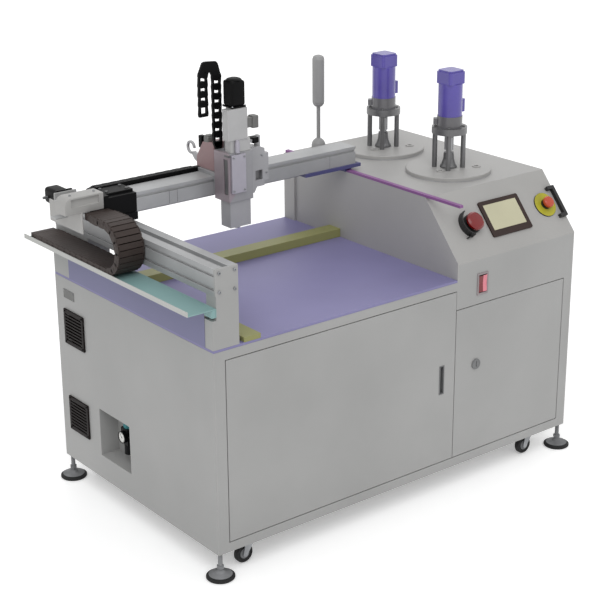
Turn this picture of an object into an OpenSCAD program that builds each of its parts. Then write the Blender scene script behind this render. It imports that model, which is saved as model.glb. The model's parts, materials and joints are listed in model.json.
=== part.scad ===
// Two-component dispensing machine: a cabinet with a work table, a tower with two stirred tanks
// and a sloped control panel, and a three-axis gantry that carries the dispensing ram.

/* [Cabinet] */
// Width of the cabinet
cab_w = 1500; // [1450:10:1600]
// Depth of the cabinet
cab_d = 900; // [880:10:1000]
// Height of the cabinet's underside above the floor
cab_z = 84; // [80:1:92]
// Height of the work table's top face above the floor
table_z = 745; // [735:5:780]
// Thickness of the work table
table_t = 8; // [6:1:10]
// Thickness of the sheet-metal panels
skin = 2; // [1.5:0.25:2.5]
// Width of the frame's channels
channel = 30; // [28:1:32]
// Wall of the frame's channels
channel_wall = 3; // [2:0.5:4]
// Running clearance between sliding faces
slide_gap = 0.3; // [0.2:0.05:0.5]
// Radial clearance of a shaft or pin in its bore
fit_gap = 0.05; // [0.03:0.01:0.09]

/* [Tower] */
// Width of the tower
tower_w = 543; // [520:1:560]
// Height of the tower above the work table
tower_h = 240; // [230:2:280]
// Height of the upright front above the work table
front_rise = 54; // [40:1:70]
// Depth that the sloped panel takes
slope_run = 161; // [150:1:175]
// Width of the corner post in the tower's left wall
corner_post_w = 60; // [40:1:80]
// How far the corner post stands out of the left wall
corner_post_t = 8; // [4:1:12]

/* [Doors] */
// Margin between the cabinet's side and a door
door_margin = 43; // [42:1:60]
// Gap round a door
door_gap = 3; // [2.5:0.5:4]
// Height of the doors' lower edge
door_z = 118; // [118:1:130]
// Height of the wide door
wide_door_h = 587; // [560:1:590]
// Height of the tower's door
tower_door_h = 522; // [480:1:524]
// Depth of a door's folded edges
door_t = 16; // [12:1:18]
// Distance of a hinge pin from the door's edge
pin_inset = 8; // [7:0.5:10]
// Distance of a hinge pin behind the door's face
pin_back = 6; // [5:0.5:7]
// Diameter of the hinge pins
pin_d = 6; // [4:0.5:7]
// Width of the flush handle
pull_w = 21; // [18:1:30]
// Height of the flush handle
pull_h = 101; // [80:1:120]
// Depth of the flush handle's cup
pull_depth = 14; // [10:1:20]
// Distance of the flush handle from the door's free edge
pull_inset = 57; // [45:1:80]
// Height of the flush handle's middle
pull_z = 414; // [380:1:450]
// Diameter of the round lock
lock_d = 36; // [30:1:44]
// Distance of the lock from the door's free edge
lock_inset = 93; // [85:1:110]
// Height of the lock
lock_z = 432; // [400:1:460]
// Length of the lock's tongue
tongue_l = 45; // [40:1:55]

/* [Left side] */
// Side of the square fan grilles
grille_side = 120; // [112:1:128]
// Diameter of the fan blades
fan_d = 106; // [96:1:108]
// Depth of the fan housings
fan_t = 25; // [20:1:38]
// Distance of the fans from the cabinet's middle
fan_y = 339; // [320:1:350]
// Height of the upper fan
fan_high_z = 571; // [540:1:600]
// Height of the lower fan
fan_low_z = 260; // [220:1:300]
// Width of the regulator pocket
pocket_w = 182; // [170:1:200]
// Height of the regulator pocket
pocket_h = 167; // [160:1:190]
// Depth of the regulator pocket
pocket_d = 70; // [64:1:90]
// Distance of the pocket's middle from the cabinet's middle
pocket_y = 121; // [110:1:130]
// Height of the pocket's middle
pocket_z = 252; // [240:1:270]
// Diameter of the pressure gauge
gauge_d = 40; // [34:1:44]
// Diameter of the regulator's knob
reg_knob_d = 30; // [24:1:34]

/* [Feet and casters] */
// Diameter of the levelling feet's pads
pad_d = 89; // [70:1:95]
// Distance of the feet from the cabinet's sides
foot_inset = 15; // [14:0.5:16]
// Diameter of the feet's stems
stem_d = 14; // [12:1:16]
// Distance of the casters from the cabinet's left and right sides
caster_inset_x = 140; // [135:1:180]
// Distance of the casters from the front and back
caster_inset_y = 45; // [40:1:60]
// Diameter of the caster wheels
wheel_d = 62; // [54:1:64]
// Width of the caster wheels
wheel_w = 20; // [16:1:24]
// Distance of the lifted wheels above the floor
wheel_lift = 3; // [1:0.5:4]
// Distance of a wheel's axle from the swivel
trail = 18; // [12:1:22]

/* [Controls] */
// Width of the touch panel
screen_w = 181; // [160:1:190]
// Height of the touch panel, up the slope
screen_h = 129; // [110:1:140]
// Distance of the touch panel's middle from the tower's left wall
screen_x = 282; // [275:1:290]
// Distance of the controls' middle line up the slope
panel_v = 119; // [105:1:130]
// Distance of the red stop button from the tower's left wall
stop_x = 129; // [110:1:140]
// Width of the red stop button's head across its flats
stop_head_d = 78; // [60:1:84]
// Distance of the emergency stop from the tower's left wall
estop_x = 473; // [460:1:480]
// Diameter of the emergency stop's yellow plate
estop_plate_d = 88; // [70:1:92]
// Diameter of the emergency stop's head
estop_head_d = 40; // [32:1:48]
// Travel of both stop buttons
press = 6; // [4:0.5:7]
// Distance of the main switch from the tower's left wall
switch_x = 112; // [100:1:130]
// Height of the main switch's middle
switch_z = 711; // [711:1:730]
// Width of the main switch
switch_w = 48; // [40:1:56]
// Height of the main switch
switch_h = 74; // [60:1:74]

/* [Tanks and agitators] */
// Diameter of the tank lids
lid_d = 292; // [280:1:300]
// Thickness of the tank lids
lid_t = 11; // [8:1:16]
// Thickness of the tanks' rims
rim_t = 3; // [2:0.5:4]
// Diameter of the tanks
tank_d = 250; // [230:1:256]
// Depth of the tanks
tank_depth = 400; // [340:1:405]
// Wall of the tanks
tank_wall = 2; // [1.5:0.5:3]
// Distance of the front tank from the tower's left wall
tank_a_x = 279; // [270:1:290]
// Distance of the front tank in front of the cabinet's middle
tank_a_y = -101; // [-110:1:-90]
// Distance of the rear tank from the tower's left wall
tank_b_x = 293; // [285:1:300]
// Distance of the rear tank behind the cabinet's middle
tank_b_y = 255; // [245:1:265]
// Diameter of the agitators' posts
post_d = 17; // [12:1:20]
// Spacing of the agitators' posts
post_pitch = 68; // [64:1:74]
// Height of the agitators' posts
post_h = 121; // [110:1:140]
// Diameter of the agitators' top flange
flange_d = 120; // [116:1:128]
// Thickness of the agitators' top flange
flange_t = 22; // [14:1:26]
// Diameter of the agitators' gearboxes
gearbox_d = 86; // [76:1:96]
// Height of the agitators' gearboxes
gearbox_h = 38; // [30:1:50]
// Diameter of the agitators' motors
motor_d = 82; // [74:1:90]
// Height of the agitators' motors
motor_h = 110; // [90:1:130]
// Side of the agitator motors' caps
cap_side = 72; // [60:1:76]
// Height of the agitator motors' caps
cap_h = 46; // [36:1:56]
// Diameter of the agitators' shafts
shaft_d = 16; // [12:1:20]
// Reach of the agitators' paddles
paddle_r = 88; // [70:1:100]
// Height of the pump shelf above the floor
shelf_z = 332; // [300:2:340]

/* [Y axis] */
// Width of the left beam
beam_w = 80; // [70:1:90]
// Height of the left beam
beam_h = 83; // [70:1:90]
// Distance of the left beam from the cabinet's left side
beam_inset = 13; // [8:1:20]
// How far the left beam's top stands above the tower's top
beam_over = 3; // [0:1:10]
// Width of the beam's grooves
groove_w = 8; // [6:0.5:10]
// Depth of the beam's grooves
groove_t = 6; // [4:0.5:8]
// Depth of the front post
front_post_d = 50; // [40:1:60]
// Depth of the rear post
rear_post_d = 200; // [150:1:240]
// Thickness of the posts' end plates
end_plate = 8; // [6:1:12]
// Width of the tray under the cable chain
tray_w = 98; // [96:1:110]
// Thickness of the tray
tray_t = 3; // [2:0.5:4]
// How far the tray reaches behind the cabinet
tray_over = 33; // [20:1:40]
// Width of the wide cable chain
chain_w = 92; // [80:1:93]
// Thickness of the wide cable chain
chain_t = 25; // [20:1:30]
// Outer bend radius of the wide cable chain
chain_r = 86; // [80:1:92]
// Place of the chain's bend, measured from the cabinet's middle
bend_y = -8; // [-20:1:10]
// Width of the right rail
rail_w = 15; // [12:1:20]
// Height of the right rail
rail_h = 9; // [6:0.5:9]

/* [Gantry] */
// Place of the X beam's front face, behind the cabinet's middle
gantry_y = 100; // [80:1:110]
// Depth of the X beam
xbeam_d = 80; // [70:1:84]
// Height of the X beam
xbeam_h = 60; // [50:1:70]
// Height of the X beam's underside above the left beam
xbeam_rise = 24; // [18:1:30]
// Length of the X beam
xbeam_l = 881; // [860:1:900]
// Width of the Y carriage's block
block_w = 119; // [110:1:125]
// Length of the end housing
housing_l = 167; // [150:1:180]
// Height of the end housing
housing_h = 67; // [60:1:75]
// Depth of the end housing
housing_d = 85; // [80:1:90]
// Length of the right carriage plate
runner_plate_l = 240; // [200:1:250]
// Thickness of the right carriage plate
runner_plate_t = 12; // [10:1:14]
// Thickness of the narrow cable chain
xchain_t = 18; // [14:1:20]
// Width of the narrow cable chain
xchain_w = 30; // [24:1:32]

/* [Head] */
// Place of the head's left side, from the cabinet's middle
head_x = -352; // [-360:1:-340]
// Width of the ram's housing
zbox_w = 94; // [90:1:100]
// Depth of the ram's housing
zbox_d = 80; // [76:1:84]
// Height of the ram's housing
zbox_h = 159; // [150:1:170]
// Width of the ram
ram_w = 80; // [74:1:82]
// Depth of the ram
ram_d = 51; // [44:1:56]
// Length of the ram
ram_l = 208; // [200:1:214]
// How far the ram stands out of its housing at rest
ram_out = 86; // [80:1:90]
// Diameter of the Z motor
zmotor_d = 78; // [70:1:80]
// Height of the Z motor
zmotor_h = 115; // [100:1:130]
// Height of the Z motor's mounting block
zmount_h = 95; // [80:1:105]
// Width of the side block
side_w = 87; // [80:1:95]
// Pitch of the small cable chain's links
link_pitch = 33; // [31:0.5:34]
// Width of the small cable chain's links, across the run
link_w = 36; // [34:0.5:38]
// Depth of the small cable chain
link_depth = 30; // [26:1:32]
// Wall of the small cable chain's links
link_wall = 3; // [2.5:0.25:4]
// Links in the chain's free leg
free_links = 4; // [3:1:5]
// Links in the chain's fixed leg
fixed_links = 7; // [6:1:8]

/* [Hidden] */
$fn = 64;
eps = 0.5; // reach of a cut past a face
left_x = -cab_w / 2;
right_x = cab_w / 2;
front_y = -cab_d / 2;
back_y = cab_d / 2;
top_z = table_z - table_t;
tower_x = right_x - tower_w;
tower_z = table_z + tower_h;
front_z = table_z + front_rise;
slope_a = atan((tower_z - front_z) / slope_run);
slope_y = front_y + slope_run;
slope_drop = skin / cos(slope_a);

foot_x = right_x - foot_inset;
foot_y = back_y - foot_inset;
pad_h = 24;
stem_in = 56;
caster_x = right_x - caster_inset_x;
caster_y = back_y - caster_inset_y;
caster_plate = 4;
fork_top = cab_z - caster_plate;
fork_disc = 4;
axle_z = wheel_lift + wheel_d / 2;
axle_d = 8;
kingpin_d = 10;
kingpin_l = 5.5;
cheek_t = 3;

door_left = left_x + door_margin;
door_right = right_x - door_margin;
door_split = tower_x - 1;
wide_door_w = door_split - door_gap / 2 - door_left;
tower_door_w = door_right - door_split - door_gap / 2;
sheet = 1.5;

beam_x = left_x + beam_inset;
beam_top = tower_z + beam_over;
beam_z = beam_top - beam_h;
carriage_z = beam_top + slide_gap;
xbeam_z = beam_top + xbeam_rise;
xbeam_top = xbeam_z + xbeam_h;
block_x = beam_x - 23;
xbeam_x = block_x + block_w;
block_h = 68;
housing_x = block_x - housing_l;
housing_z = xbeam_z + 31.3;
chain_top = housing_z - slide_gap;
chain_z = chain_top - 2 * chain_r;
tray_x = beam_x - tray_w;
chain_x = beam_x - 3 - chain_w;
chain_mid = chain_z + chain_r;
beam_len = cab_d - 2 * end_plate;
rail_x = tower_x;
rail_top = tower_z + rail_h;
ymotor_l = 90;

xchain_y = gantry_y + xbeam_d + 7;
xchain_z = xbeam_z;
xchain_bend = head_x - 376;
xchain_end = head_x + 100;
trough_t = 3;

zbox_y = gantry_y - 6 - zbox_d;
zbox_z = beam_top + 13;
zbox_top = zbox_z + zbox_h;
ram_x = head_x + (zbox_w - ram_w) / 2;
ram_y = zbox_y + 6;
ram_z = zbox_z - ram_out;
saddle_top = xbeam_top + slide_gap + 11.7;
saddle_w = zbox_w + side_w + 2;
cover_y = zbox_y + zbox_d + slide_gap + link_depth;
cover_z = saddle_top;
xchain_r = (cover_z - slide_gap - xchain_z) / 2;
cover_h = 111;
zmotor_x = head_x + zbox_w / 2 + 15;
zmotor_y = zbox_y + 36;
neck_h = 30;
zmount_z = zbox_top + neck_h;
zmotor_z = zmount_z + zmount_h;

reach_left = -housing_x;
reach_right = foot_x + pad_d / 2;
reach_front = foot_y + pad_d / 2;
reach_back = back_y + ymotor_l;
shift_x = (reach_left - reach_right) / 2;
shift_y = (reach_front - reach_back) / 2;

// Shared helpers

// Moves a piece from the cabinet's middle to the part's own origin
module at_home() {
    translate([shift_x, shift_y, 0]) children();
}

// A box given by its low and high corners
module block(low, high) {
    translate(low) cube(high - low);
}

// The children on the left and, mirrored, on the right
module both_sides() {
    children();
    mirror([1, 0, 0]) children();
}

// The children in front and, mirrored, behind
module front_and_back() {
    children();
    mirror([0, 1, 0]) children();
}

// A plate in the XZ plane, with its front face at y
module plate_xz(y, thick) {
    translate([0, y + thick, 0]) rotate([90, 0, 0]) linear_extrude(thick) children();
}

// A plate in the YZ plane, with its left face at x
module plate_yz(x, thick) {
    translate([x, 0, 0]) rotate([90, 0, 90]) linear_extrude(thick) children();
}

// A slot with round ends, its middle at the origin and its length along the first axis
module slot(length, width) {
    square([length - width, width], center = true);
    for (side = [-1, 1]) translate([side * (length - width) / 2, 0]) circle(d = width);
}

// A square with round corners, its middle at the origin
module round_rect(wide, high, radius) {
    square([wide - 2 * radius, high], center = true);
    square([wide, high - 2 * radius], center = true);
    for (sx = [-1, 1], sy = [-1, 1])
        translate([sx * (wide / 2 - radius), sy * (high / 2 - radius)]) circle(radius);
}

// The sloped panel's own axes: x along it, y up the slope, z out of it
module on_slope(x, v) {
    translate([tower_x + x, front_y, front_z]) rotate([slope_a, 0, 0]) translate([0, v, 0]) children();
}

// A channel along x, with its web at y = 0 and its open side at the back
module channel_bar(length) {
    difference() {
        cube([length, channel, channel]);
        translate([-eps, channel_wall, channel_wall])
            cube([length + 2 * eps, channel, channel - 2 * channel_wall]);
    }
}

// An upright channel, with its web at x = 0 and its open side to the right
module channel_post(height) {
    difference() {
        cube([channel, channel, height]);
        translate([channel_wall, channel_wall, -eps])
            cube([channel, channel - 2 * channel_wall, height + 2 * eps]);
    }
}

// Cabinet

inner_w = cab_w - 2 * skin;
inner_d = cab_d - 2 * skin;
post_z = cab_z + channel;
rail_z = top_z - channel;
stile_x = tower_x - 1 - channel / 2;
header_z = door_z + tower_door_h + door_gap;
stile_y = front_y + door_t + 2;
shell_top = tower_z - skin;
catch_reach = lock_inset - tongue_l + 20;

module frame_ring() {
    front_and_back()
        translate([-inner_w / 2, -inner_d / 2, cab_z]) channel_bar(inner_w);
    both_sides()
        translate([inner_w / 2, -inner_d / 2, cab_z]) rotate([0, 0, 90]) channel_bar(inner_d);
    block([-inner_w / 2, -inner_d / 2, cab_z + channel_wall],
          [inner_w / 2, inner_d / 2, cab_z + channel_wall + skin]);
    both_sides() front_and_back() {
        block([inner_w / 2 - channel, inner_d / 2 - channel, cab_z], [inner_w / 2, inner_d / 2, post_z]);
        block([caster_x - 28, caster_y - 28, fork_top], [caster_x + 28, caster_y + 28, cab_z + channel_wall]);
    }
}

module frame_posts() {
    front_and_back() {
        translate([-inner_w / 2, -inner_d / 2, post_z]) channel_post(rail_z - post_z);
        translate([inner_w / 2, -inner_d / 2, post_z]) mirror([1, 0, 0]) channel_post(rail_z - post_z);
    }
    translate([inner_w / 2, inner_d / 2 - channel, rail_z]) mirror([1, 0, 0])
        channel_post(shell_top - rail_z);
    translate([inner_w / 2, -inner_d / 2, rail_z]) mirror([1, 0, 0])
        channel_post(front_z - slope_drop - rail_z);
    translate([tower_x + skin, inner_d / 2 - channel, top_z]) channel_post(shell_top - top_z);
    translate([stile_x, stile_y, post_z - channel_wall]) channel_post(rail_z - post_z + 2 * channel_wall);
    translate([stile_x, inner_d / 2 - channel, post_z - channel_wall])
        channel_post(rail_z - post_z + 2 * channel_wall);
}

module frame_rails() {
    translate([-inner_w / 2, -inner_d / 2, rail_z]) channel_bar(stile_x + channel + inner_w / 2);
    translate([-inner_w / 2, inner_d / 2, rail_z]) mirror([0, 1, 0]) channel_bar(inner_w);
    both_sides()
        translate([inner_w / 2, -inner_d / 2, rail_z]) rotate([0, 0, 90]) channel_bar(inner_d);
    for (x = [stile_x, (left_x + stile_x) / 2])
        translate([x + channel, -inner_d / 2 + channel, rail_z]) rotate([0, 0, 90])
            channel_bar(inner_d - 2 * channel);
    translate([tower_x + 1, -inner_d / 2, header_z]) channel_bar(right_x - skin - tower_x - 1);
    for (x = [tower_x + skin + channel, inner_w / 2])
        translate([x, slope_y + channel, shell_top - channel]) rotate([0, 0, 90])
            channel_bar(inner_d / 2 - slope_y - channel);
    translate([tower_x + skin, inner_d / 2, shell_top - channel]) mirror([0, 1, 0])
        channel_bar(inner_w / 2 - tower_x - skin);
}

module pump_shelf() {
    for (x = [stile_x + channel, inner_w / 2])
        translate([x, stile_y + channel - channel_wall, shelf_z - skin - channel]) rotate([0, 0, 90])
            channel_bar(inner_d / 2 - stile_y - 2 * channel + 2 * channel_wall);
    block([stile_x, stile_y + channel, shelf_z - skin], [inner_w / 2, inner_d / 2 - channel, shelf_z]);
}

module base_frame() {
    color("gainsboro") at_home() difference() {
        union() {
            frame_ring();
            frame_posts();
            frame_rails();
            pump_shelf();
            block([stile_x + channel - channel_wall, stile_y + 2, lock_z - 20],
                  [door_split + door_gap / 2 + catch_reach, stile_y + 5, lock_z + 20]);
        }
        both_sides() front_and_back() {
            translate([foot_x, foot_y, cab_z - eps]) cylinder(r = stem_d / 2 + fit_gap, h = channel + 2 * eps);
            translate([caster_x, caster_y, fork_top - eps])
                cylinder(r = kingpin_d / 2 + fit_gap, h = kingpin_l + 2 * eps);
        }
        for (x = [door_left + pin_inset, door_right - pin_inset])
            translate([x, front_y + pin_back, post_z - channel_wall - eps])
                cylinder(r = pin_d / 2 + fit_gap, h = channel_wall + 2 * eps);
        translate([door_left + pin_inset, front_y + pin_back, rail_z - eps])
            cylinder(r = pin_d / 2 + fit_gap, h = channel_wall + 2 * eps);
        translate([door_right - pin_inset, front_y + pin_back, header_z - eps])
            cylinder(r = pin_d / 2 + fit_gap, h = channel_wall + 2 * eps);
        for (tank = [[tank_a_x, tank_a_y], [tank_b_x, tank_b_y]])
            translate([tower_x + tank[0], tank[1], shelf_z - skin - eps])
                cylinder(d = pump_neck + 6, h = skin + 2 * eps);
    }
}

module left_side_panel() {
    color("silver") at_home() {
        difference() {
            block([left_x, front_y, cab_z], [left_x + skin, back_y, top_z]);
            for (z = [fan_low_z, fan_high_z])
                translate([left_x - eps, fan_y, z]) rotate([0, 90, 0]) cylinder(d = fan_d + 4, h = skin + 2 * eps);
            block([left_x - eps, pocket_y - pocket_w / 2, pocket_z - pocket_h / 2],
                  [left_x + skin + eps, pocket_y + pocket_w / 2, pocket_z + pocket_h / 2]);
        }
        difference() {
            block([left_x + skin, pocket_y - pocket_w / 2 - sheet, pocket_z - pocket_h / 2 - sheet],
                  [left_x + pocket_d, pocket_y + pocket_w / 2 + sheet, pocket_z + pocket_h / 2 + sheet]);
            block([left_x, pocket_y - pocket_w / 2, pocket_z - pocket_h / 2],
                  [left_x + pocket_d - sheet, pocket_y + pocket_w / 2, pocket_z + pocket_h / 2]);
        }
        block([left_x - sheet, fan_y - 5, table_z - 75], [left_x, fan_y + 59, table_z - 45]);
    }
}

module tower_profile() {
    polygon([
        [front_y, top_z], [front_y, front_z], [slope_y, tower_z],
        [back_y - skin, tower_z], [back_y - skin, top_z]
    ]);
}

module right_side_panel() {
    color("silver") at_home() plate_yz(right_x - skin, skin) polygon([
        [front_y, cab_z], [front_y, front_z], [slope_y, tower_z], [back_y, tower_z], [back_y, cab_z]
    ]);
}

module front_fascia() {
    color("silver") at_home() difference() {
        plate_xz(front_y, skin) polygon([
            [left_x + skin, cab_z], [left_x + skin, top_z], [tower_x + skin, top_z],
            [tower_x + skin, front_z - slope_drop], [right_x - skin, front_z - slope_drop],
            [right_x - skin, cab_z]
        ]);
        block([door_left - door_gap, front_y - eps, door_z - door_gap],
              [door_split, front_y + skin + eps, door_z + wide_door_h + door_gap]);
        block([door_split - eps, front_y - eps, door_z - door_gap],
              [door_right + door_gap, front_y + skin + eps, door_z + tower_door_h + door_gap]);
        block([tower_x + switch_x - switch_w / 2 + 3, front_y - eps, switch_z - switch_h / 2 + 3],
              [tower_x + switch_x + switch_w / 2 - 3, front_y + skin + eps, switch_z + switch_h / 2 - 3]);
    }
}

gland_d = 34;
gland_bore_d = 16;
gland_l = 14;
gland_x = 420;
gland_z = 190;

module rear_panel() {
    color("silver") at_home() difference() {
        union() {
            plate_xz(back_y - skin, skin) polygon([
                [left_x + skin, cab_z], [left_x + skin, top_z], [tower_x, top_z],
                [tower_x, tower_z], [right_x - skin, tower_z], [right_x - skin, cab_z]
            ]);
            translate([gland_x, back_y + gland_l - skin, gland_z]) rotate([90, 0, 0])
                cylinder(d = gland_d, h = gland_l - skin / 2, $fn = 6);
        }
        translate([gland_x, back_y + gland_l, gland_z]) rotate([90, 0, 0])
            cylinder(d = gland_bore_d, h = gland_l + skin + eps);
        for (x = [-500, -380], k = [0 : 7])
            translate([x, back_y + eps, 520 + 14 * k]) rotate([90, 0, 0])
                linear_extrude(skin + 2 * eps) slot(90, 6);
        for (x = [400, 520], k = [0 : 7])
            translate([x, back_y + eps, 760 + 14 * k]) rotate([90, 0, 0])
                linear_extrude(skin + 2 * eps) slot(90, 6);
    }
}

module tower_shell() {
    color("lightgray") at_home() difference() {
        union() {
            plate_yz(tower_x, tower_w - skin) tower_profile();
            block([tower_x - corner_post_t, back_y - corner_post_w, table_z],
                  [tower_x + eps, back_y - skin, tower_z]);
        }
        plate_yz(tower_x + skin, tower_w) polygon([
            [front_y - eps, top_z - eps], [front_y - eps, front_z - slope_drop - eps * tan(slope_a)],
            [slope_y + skin * tan(slope_a / 2), shell_top],
            [back_y, shell_top], [back_y, top_z - eps]
        ]);
        for (tank = [[tank_a_x, tank_a_y], [tank_b_x, tank_b_y]])
            translate([tower_x + tank[0], tank[1], shell_top - eps]) cylinder(d = tank_d + 4, h = skin + 2 * eps);
        on_slope(screen_x, panel_v) cube([screen_w - 16, screen_h - 16, 4 * skin], center = true);
        on_slope(stop_x, panel_v) cylinder(d = barrel_d, h = 4 * skin, center = true);
        on_slope(estop_x, panel_v) cylinder(d = barrel_d, h = 4 * skin, center = true);
    }
}

module work_table() {
    color("mediumpurple") at_home() block([left_x, front_y, top_z], [tower_x, back_y, table_z]);
}

side_bar_x = left_x + 110;
side_bar_w = 60;
side_bar_t = 15;
rear_bar_y = 140;
rear_bar_w = 60;
rear_bar_t = 30;

module stop_bars() {
    color("olive") at_home() {
        block([side_bar_x, front_y, table_z], [side_bar_x + side_bar_w, rear_bar_y, table_z + side_bar_t]);
        block([side_bar_x, rear_bar_y, table_z], [tower_x, rear_bar_y + rear_bar_w, table_z + rear_bar_t]);
    }
}

// Doors

// A folded door pan with hinge pins; its low left front corner is at the origin
module door_pan(wide, high, pin_x, pin_low, pin_high) {
    difference() {
        cube([wide, door_t, high]);
        translate([sheet, sheet, sheet]) cube([wide - 2 * sheet, door_t, high - 2 * sheet]);
    }
    for (z = [sheet, high - sheet - 6])
        translate([pin_x - 6, sheet / 2, z - sheet / 2]) cube([12, pin_back + 6, 6 + sheet]);
    translate([pin_x, pin_back, -pin_low]) cylinder(d = pin_d, h = pin_low + sheet);
    translate([pin_x, pin_back, high - sheet]) cylinder(d = pin_d, h = pin_high + sheet);
}

pull_x = door_left + wide_door_w - pull_inset;

module access_door() {
    color("silver") at_home() difference() {
        translate([door_left, front_y, door_z])
            door_pan(wide_door_w, wide_door_h, pin_inset, door_z - post_z + channel_wall,
                     rail_z - door_z - wide_door_h + channel_wall);
        translate([pull_x, front_y - eps, pull_z]) rotate([-90, 0, 0])
            linear_extrude(sheet + 2 * eps) square([pull_w - 4, pull_h - 4], center = true);
    }
}

module door_pull() {
    color("dimgray") at_home() translate([pull_x, front_y, pull_z]) difference() {
        union() {
            translate([-pull_w / 2, -sheet, -pull_h / 2]) cube([pull_w, sheet, pull_h]);
            translate([-pull_w / 2 + 2, -eps, -pull_h / 2 + 2]) cube([pull_w - 4, pull_depth, pull_h - 4]);
        }
        translate([-pull_w / 2 + 2 + sheet, -sheet - eps, -pull_h / 2 + 2 + sheet])
            cube([pull_w - 4 - 2 * sheet, pull_depth, pull_h - 4 - 2 * sheet]);
    }
}

lock_x = door_split + door_gap / 2 + lock_inset;
lock_shank_d = 18;
lock_head = 4;
tongue_y = stile_y + 5 + slide_gap;
tongue_t = 4;

module tower_door() {
    color("silver") at_home() difference() {
        translate([door_split + door_gap / 2, front_y, door_z])
            door_pan(tower_door_w, tower_door_h, tower_door_w - pin_inset, door_z - post_z + channel_wall,
                     header_z - door_z - tower_door_h + channel_wall);
        translate([lock_x, front_y - eps, lock_z]) rotate([-90, 0, 0])
            cylinder(r = lock_shank_d / 2 + fit_gap, h = sheet + 2 * eps);
    }
}

module door_lock() {
    color("gray") at_home() translate([lock_x, front_y, lock_z]) difference() {
        union() {
            translate([0, -slide_gap - lock_head, 0]) rotate([-90, 0, 0]) cylinder(d = lock_d, h = lock_head);
            translate([0, -slide_gap - eps, 0]) rotate([-90, 0, 0])
                cylinder(d = lock_shank_d, h = tongue_y + tongue_t - front_y + slide_gap + eps);
            block([-7, tongue_y - front_y, -tongue_l], [7, tongue_y + tongue_t - front_y, 0]);
        }
        block([-2, -slide_gap - lock_head - eps, -10], [2, -slide_gap - 1, 10]);
    }
}

// Left side: fans and air regulator

fan_hub_d = 40;
fan_axle_d = 6;
fan_face = 6;

module fan_housing(z) {
    half = grille_side / 2;
    translate([left_x - fan_face, fan_y, z]) difference() {
        translate([0, -half, -half]) cube([fan_face, grille_side, grille_side]);
        for (k = [-4 : 4])
            translate([-eps, -half + 10, 11 * k - 3]) cube([fan_face + 2 * eps, grille_side - 20, 6]);
    }
    translate([left_x + skin, fan_y, z]) {
        difference() {
            translate([0, -half, -half]) cube([fan_t, grille_side, grille_side]);
            translate([-eps, 0, 0]) rotate([0, 90, 0]) cylinder(d = fan_d + 4, h = fan_t + 2 * eps);
        }
        translate([fan_t - 3, 0, 0]) rotate([0, 90, 0]) cylinder(d = fan_hub_d, h = 3);
        translate([fan_t - 17, 0, 0]) rotate([0, 90, 0]) cylinder(d = fan_axle_d, h = 17);
        for (a = [45, 135]) rotate([a, 0, 0])
            translate([fan_t - 3, -fan_d / 2 - 4, -3]) cube([3, fan_d + 8, 6]);
    }
}

module fan_grilles() {
    color("black") at_home() {
        fan_housing(fan_low_z);
        fan_housing(fan_high_z);
    }
}

module fan_rotor(z) {
    hub_l = 14;
    color("dimgray") at_home() translate([left_x + skin + 4, fan_y, z]) difference() {
        union() {
            rotate([0, 90, 0]) cylinder(d = fan_hub_d, h = hub_l);
            for (k = [0 : 6]) rotate([k * 360 / 7, 0, 0])
                translate([hub_l / 2, 0, fan_hub_d / 2 - 2]) rotate([0, 0, 35])
                    translate([-1, -9, 0]) cube([2, 18, (fan_d - fan_hub_d) / 2]);
        }
        translate([fan_t - 17 - 4 - 0.5, 0, 0]) rotate([0, 90, 0])
            cylinder(r = fan_axle_d / 2 + fit_gap, h = hub_l + 2 * eps);
    }
}

module fan_rotor_a() {
    fan_rotor(fan_low_z);
}

module fan_rotor_b() {
    fan_rotor(fan_high_z);
}

reg_x = left_x + pocket_d - sheet;
reg_y = pocket_y - 18;
reg_z = pocket_z + 16;
reg_w = 40;
reg_body_h = 56;
reg_neck_d = 12;
knob_h = 26;
inlet_y = reg_y - 57;
inlet_bore_d = 8;

module air_regulator() {
    color("dimgray") at_home() {
        difference() {
            union() {
                block([reg_x - 10, reg_y - 12, reg_z - 12], [reg_x, reg_y + 12, reg_z + 12]);
                block([reg_x - 44, reg_y - reg_w / 2, reg_z - reg_body_h / 2],
                      [reg_x - 10, reg_y + reg_w / 2, reg_z + reg_body_h / 2]);
                block([reg_x - 36, inlet_y - 10, reg_z + 2], [reg_x - 18, reg_y, reg_z + 22]);
                translate([reg_x - 27, reg_y, reg_z + reg_body_h / 2 - eps])
                    cylinder(d = reg_neck_d, h = 12 + eps);
                translate([reg_x - 27, reg_y, reg_z - reg_body_h / 2 - 36]) cylinder(d = 32, h = 36 + eps);
                translate([reg_x - 48, inlet_y, reg_z + 12]) rotate([0, 90, 0]) cylinder(d = 16, h = 20);
            }
            translate([reg_x - 48 - eps, inlet_y, reg_z + 12]) rotate([0, 90, 0])
                cylinder(r = inlet_bore_d / 2 + fit_gap, h = 14 + eps);
        }
        translate([reg_x - 56, reg_y, reg_z]) rotate([0, 90, 0]) difference() {
            cylinder(d = gauge_d, h = 12);
            translate([0, 0, -eps]) cylinder(d = gauge_d - 5, h = 2 + eps);
        }
    }
}

module regulator_knob() {
    color("teal") at_home() translate([reg_x - 27, reg_y, reg_z + reg_body_h / 2 + slide_gap]) difference() {
        union() {
            cylinder(d = reg_knob_d, h = knob_h - 3);
            translate([0, 0, knob_h - 3 - eps]) cylinder(d1 = reg_knob_d, d2 = reg_knob_d - 5, h = 3 + eps);
            for (k = [0 : 11]) rotate([0, 0, 30 * k])
                translate([reg_knob_d / 2 - 1, -1.5, 2]) cube([2.2, 3, knob_h - 7]);
        }
        translate([0, 0, -eps]) cylinder(r = reg_neck_d / 2 + fit_gap, h = 12 + eps);
    }
}

// Feet and casters

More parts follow.
